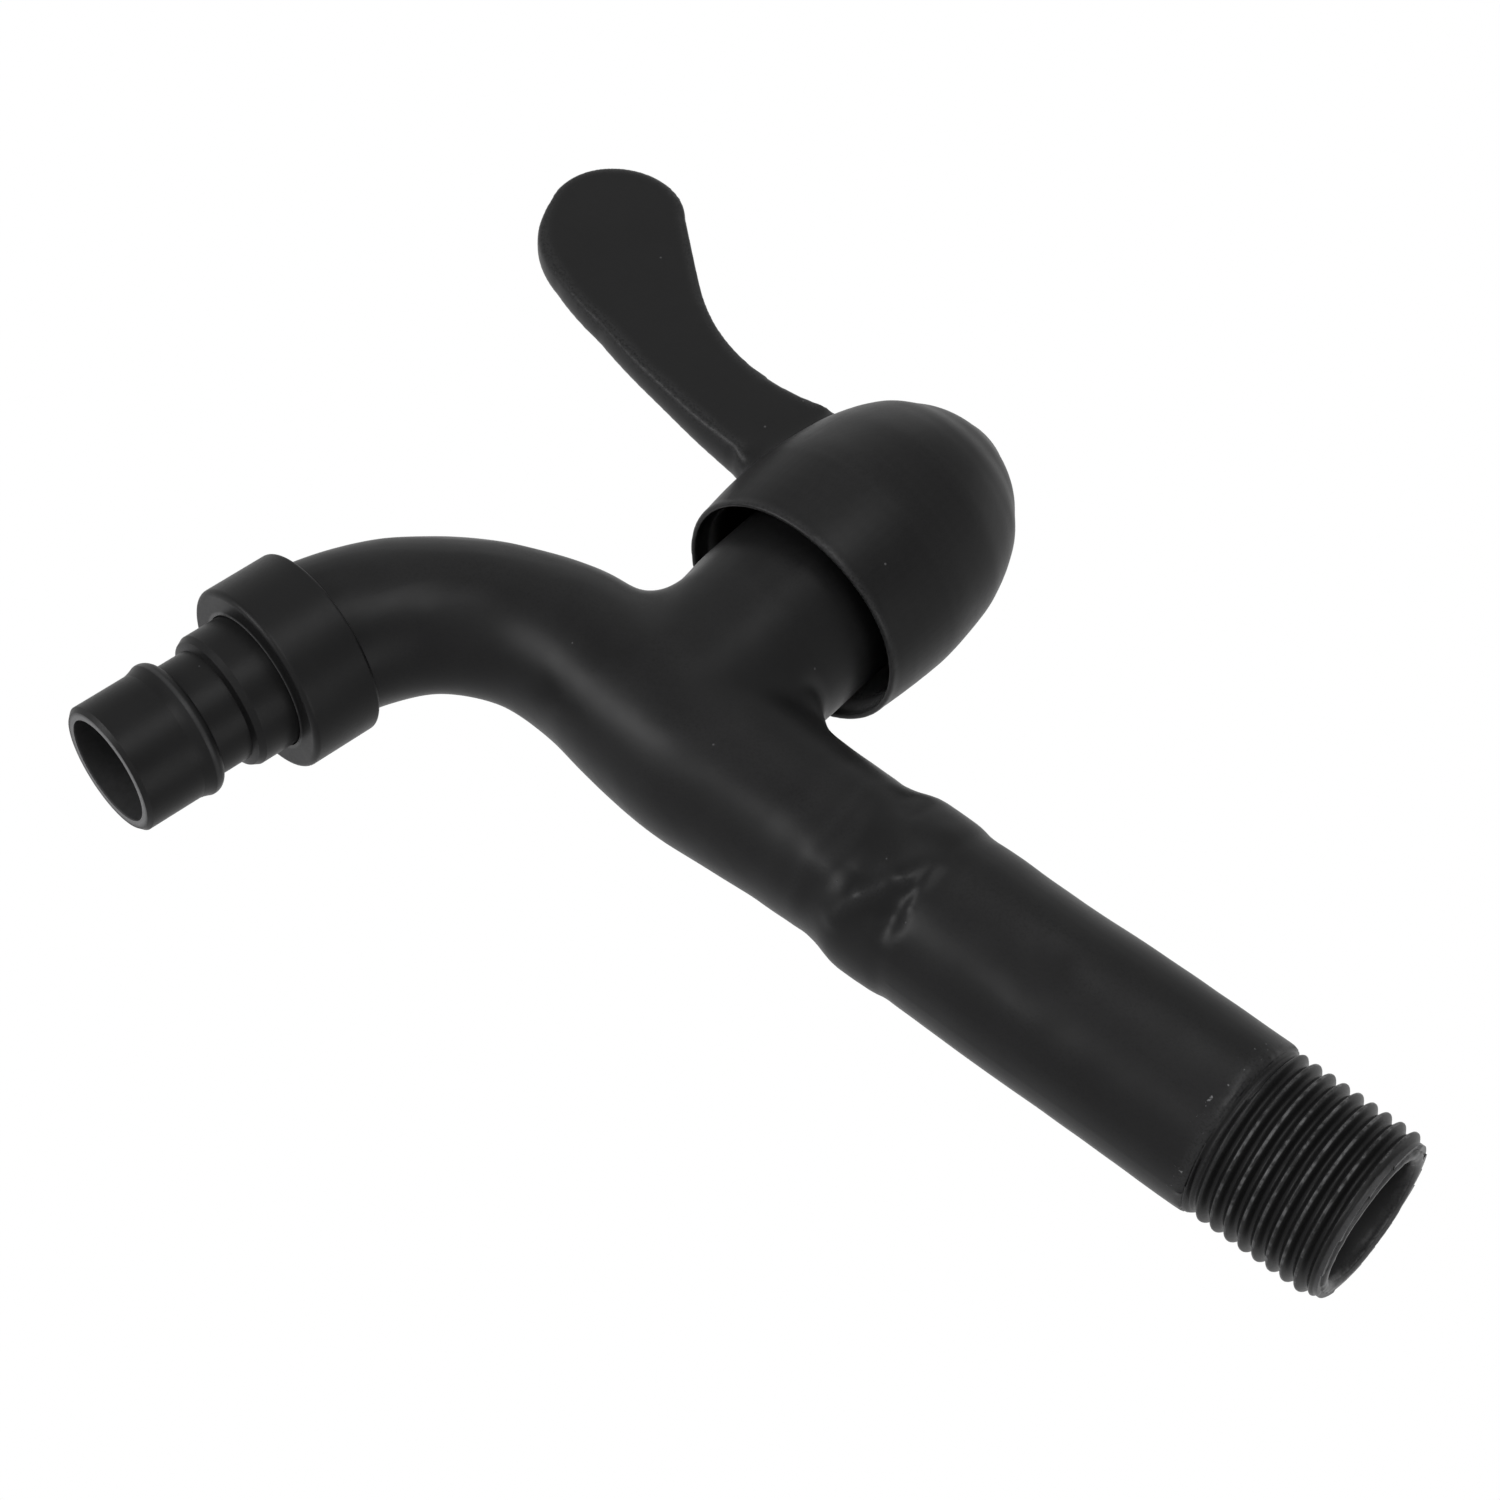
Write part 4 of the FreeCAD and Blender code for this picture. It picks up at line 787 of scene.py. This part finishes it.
# %% Fill out the dome
PLUG_EDGE = 4.9
DOME_CENTRE_Z = 38.0

places = points_of(handle) / MM
z = places[:, 2].copy()
radius = np.hypot(places[:, 0] - NECK_X, places[:, 1])
on_dome = (normals_of(handle)[:, 2] > -0.3) & (z > 36.0) & (places[:, 0] < 117.0)
on_dome = on_dome * (1 - ease(places[:, 0], 112.0, 116.0))
tilt = np.degrees(np.arctan2(z - DOME_CENTRE_Z, radius))
fuller = soft_curve(tilt, (0, 8, 18, 34, 40, 46, 52), (0, 0.10, 0.30, 0.34, 0.24, 0.10, 0)) * on_dome
places[:, 0] += 0.1 * ease(z, 42.0, 50.0) * on_dome
places[:, 2] -= 0.5 * ease(z, 49.0, 53.0) * ease(radius, PLUG_EDGE, PLUG_EDGE + 1.8) * on_dome
move_points(handle, places * MM)
swell(handle, 0.08 + fuller)
ripple(handle, 10.0, 0.06, 11.0)
mark_edges(handle, 0.02)
coat_smoothly(handle, handle_coat)
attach(handle, "turning_handle")
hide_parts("handle")
print("dome: fuller by up to", round(float(fuller.max()), 2), "mm")

# %% [markdown]
# ## The parts inside
#
# The cartridge hardly shows, but the tap can be taken apart, so each part gets the finish of its
# real material: turned brass with fine rings, moulded rubber, lapped ceramic, drawn steel and a
# pale plastic.

# %% Finishes for the parts inside
def brass():
    finish = Finish("turned_brass")
    rings = finish.node("TexWave", {"wave_type": "BANDS", "bands_direction": "Z"},
                        {"Vector": finish.place, "Scale": 900.0, "Distortion": 1.5, "Detail": 2.0})
    stain = finish.noise(3.0, 4.0)
    colour = finish.blend(stain, (0.46, 0.30, 0.11, 1), (0.62, 0.43, 0.19, 1))
    relief = finish.bump(rings, 0.004, 0.6)
    return finish.close(Base_Color=colour, Metallic=1.0, Roughness=0.26 + stain * 0.16, Normal=relief)


def rubber():
    finish = Finish("gasket_rubber")
    tone = 0.018
    grain = finish.noise(0.2, 3.0, 0.6)
    bloom = finish.noise(2.5, 3.0)
    colour = finish.blend(bloom, grey(tone * 0.8), grey(tone * 1.5))
    return finish.close(Base_Color=colour, Roughness=0.6 + grain * 0.2, Normal=finish.bump(grain, 0.01))


def ceramic():
    finish = Finish("lapped_ceramic")
    cloud = finish.noise(1.8, 3.0)
    colour = finish.blend(cloud, (0.72, 0.70, 0.65, 1), (0.82, 0.81, 0.77, 1))
    relief = finish.bump(finish.noise(0.15, 2.0), 0.002)
    return finish.close(Base_Color=colour, Roughness=0.18 + cloud * 0.12, Normal=relief)


def steel():
    finish = Finish("drawn_steel")
    grain = finish.noise(0.3, 4.0, 0.65)
    stain = finish.noise(2.0, 3.0)
    colour = finish.blend(stain, (0.42, 0.42, 0.43, 1), (0.58, 0.58, 0.58, 1))
    return finish.close(Base_Color=colour, Metallic=1.0, Roughness=0.24 + grain * 0.2,
                        Normal=finish.bump(grain, 0.004))


def plastic():
    finish = Finish("pale_plastic")
    grain = finish.noise(0.25, 3.0)
    cloud = finish.noise(3.0, 2.0)
    colour = finish.blend(cloud, (0.66, 0.66, 0.62, 1), (0.76, 0.76, 0.72, 1))
    return finish.close(Base_Color=colour, Roughness=0.42 + grain * 0.16, Normal=finish.bump(grain, 0.006))


FINISHES = [
    (brass(), ("cartridge_bonnet", "spindle")),
    (rubber(), ("bonnet_gasket", "nozzle_washer", "seat_seal", "spindle_o_rings")),
    (ceramic(), ("fixed_disc", "turning_disc")),
    (steel(), ("handle_screw", "screw_washer", "spindle_circlip")),
    (plastic(), ("slip_washer",)),
    (coating("coating_on_the_plug", edge=False), ("screw_plug",)),
    (turned_coat, ("hose_nozzle", "outlet_collar")),
]
for material, nodes in FINISHES:
    for node in nodes:
        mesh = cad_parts[node].data
        mesh.materials.clear()
        mesh.materials.append(material)
print("finished nodes:", sum(len(nodes) for material, nodes in FINISHES))

# %% [markdown]
# ## The studio
#
# A white room lights the tap evenly. The room is white for the camera and for what reflects it, and
# darker as a source of light, so the picture has a white ground without washing out the tap.

# %% The room
ROOM_LIGHT = 0.35

bpy.context.scene.view_settings.view_transform = "Standard"
world = bpy.data.worlds.new("white_room")
bpy.context.scene.world = world
world.use_nodes = True
tree = world.node_tree
path = tree.nodes.new("ShaderNodeLightPath")
seen = path.outputs["Is Camera Ray"]
for ray in ("Is Glossy Ray", "Is Transmission Ray"):
    either = tree.nodes.new("ShaderNodeMath")
    either.operation = "MAXIMUM"
    tree.links.new(seen, either.inputs[0])
    tree.links.new(path.outputs[ray], either.inputs[1])
    seen = either.outputs[0]
level = tree.nodes.new("ShaderNodeMapRange")
level.inputs["To Min"].default_value = ROOM_LIGHT
tree.links.new(seen, level.inputs["Value"])
tree.nodes["Background"].inputs["Color"].default_value = (1, 1, 1, 1)
tree.links.new(level.outputs[0], tree.nodes["Background"].inputs["Strength"])
print("room: white where it is seen,", ROOM_LIGHT, "as a light")

# %% [markdown]
# The floor is pale paper. It lies well under the tap, out of the picture, but the coating mirrors it.
# So for mirrored rays it shines, as a brightly lit floor would.

# %% The floor
bpy.ops.mesh.primitive_plane_add(size=5.0, location=(0.08, 0, -0.55))
floor = bpy.context.object
floor.name = "floor"
paper = Finish("pale_paper")
fibre = paper.noise(4.0, 4.0)
shade = paper.blend(fibre, (0.78, 0.78, 0.78, 1), (0.82, 0.82, 0.82, 1))
mirrored = paper.node("LightPath", {}, {}, "Is Glossy Ray")
floor.data.materials.append(paper.close(Base_Color=shade, Roughness=0.85, Emission_Strength=1.0,
                                        Emission_Color=paper.blend(mirrored, (0, 0, 0, 1), grey(0.90))))
print("floor at", round(floor.location.z, 3), "m")

# %% [markdown]
# Large soft lamps give the black coating its bands of shine. Each is placed by its way from the tap
# in the picture: so far to the right, upwards, and towards the camera.

# %% The lamps
MIDDLE = Vector((0.085, 0.0, 0.0))
SHANK = Vector((0.035, 0.0, 0.0))
LAMPS = [           # name, way, distance and size in metres, power in watts, what it is aimed at
    ("left", (-0.86, 0.09, 0.5), 0.7, 0.4, 6.8, MIDDLE),
    ("over_the_camera", (0.1, 0.42, 0.9), 1.1, 0.5, 6.6, MIDDLE),
    ("top", (0.0, 0.95, 0.3), 1.1, 0.6, 0.9, MIDDLE),
    ("low_right", (0.75, -0.5, 0.45), 1.1, 0.6, 4.9, MIDDLE),
    ("behind_the_right", (0.9, 0.25, -0.35), 0.9, 0.5, 0.5, MIDDLE),
    ("behind_the_top", (0.1, 0.9, -0.45), 1.1, 0.6, 0.75, MIDDLE),
    ("over_the_shank", (0.25, 0.75, 0.6), 0.4, 0.16, 0.45, SHANK),
]
for name, way, distance, size, power, aim in LAMPS:
    data = bpy.data.lights.new(name, "AREA")
    data.shape = "RECTANGLE"
    data.size = data.size_y = size
    data.energy = power
    lamp = bpy.data.objects.new(name, data)
    bpy.context.scene.collection.objects.link(lamp)
    away = (right * way[0] + up * way[1] + back * way[2]).normalized()
    lamp.location = aim + away * distance
    lamp.rotation_euler = (-away).to_track_quat("-Z", "Y").to_euler()
    print("lamp", name, "at", tuple(round(v, 2) for v in lamp.location))
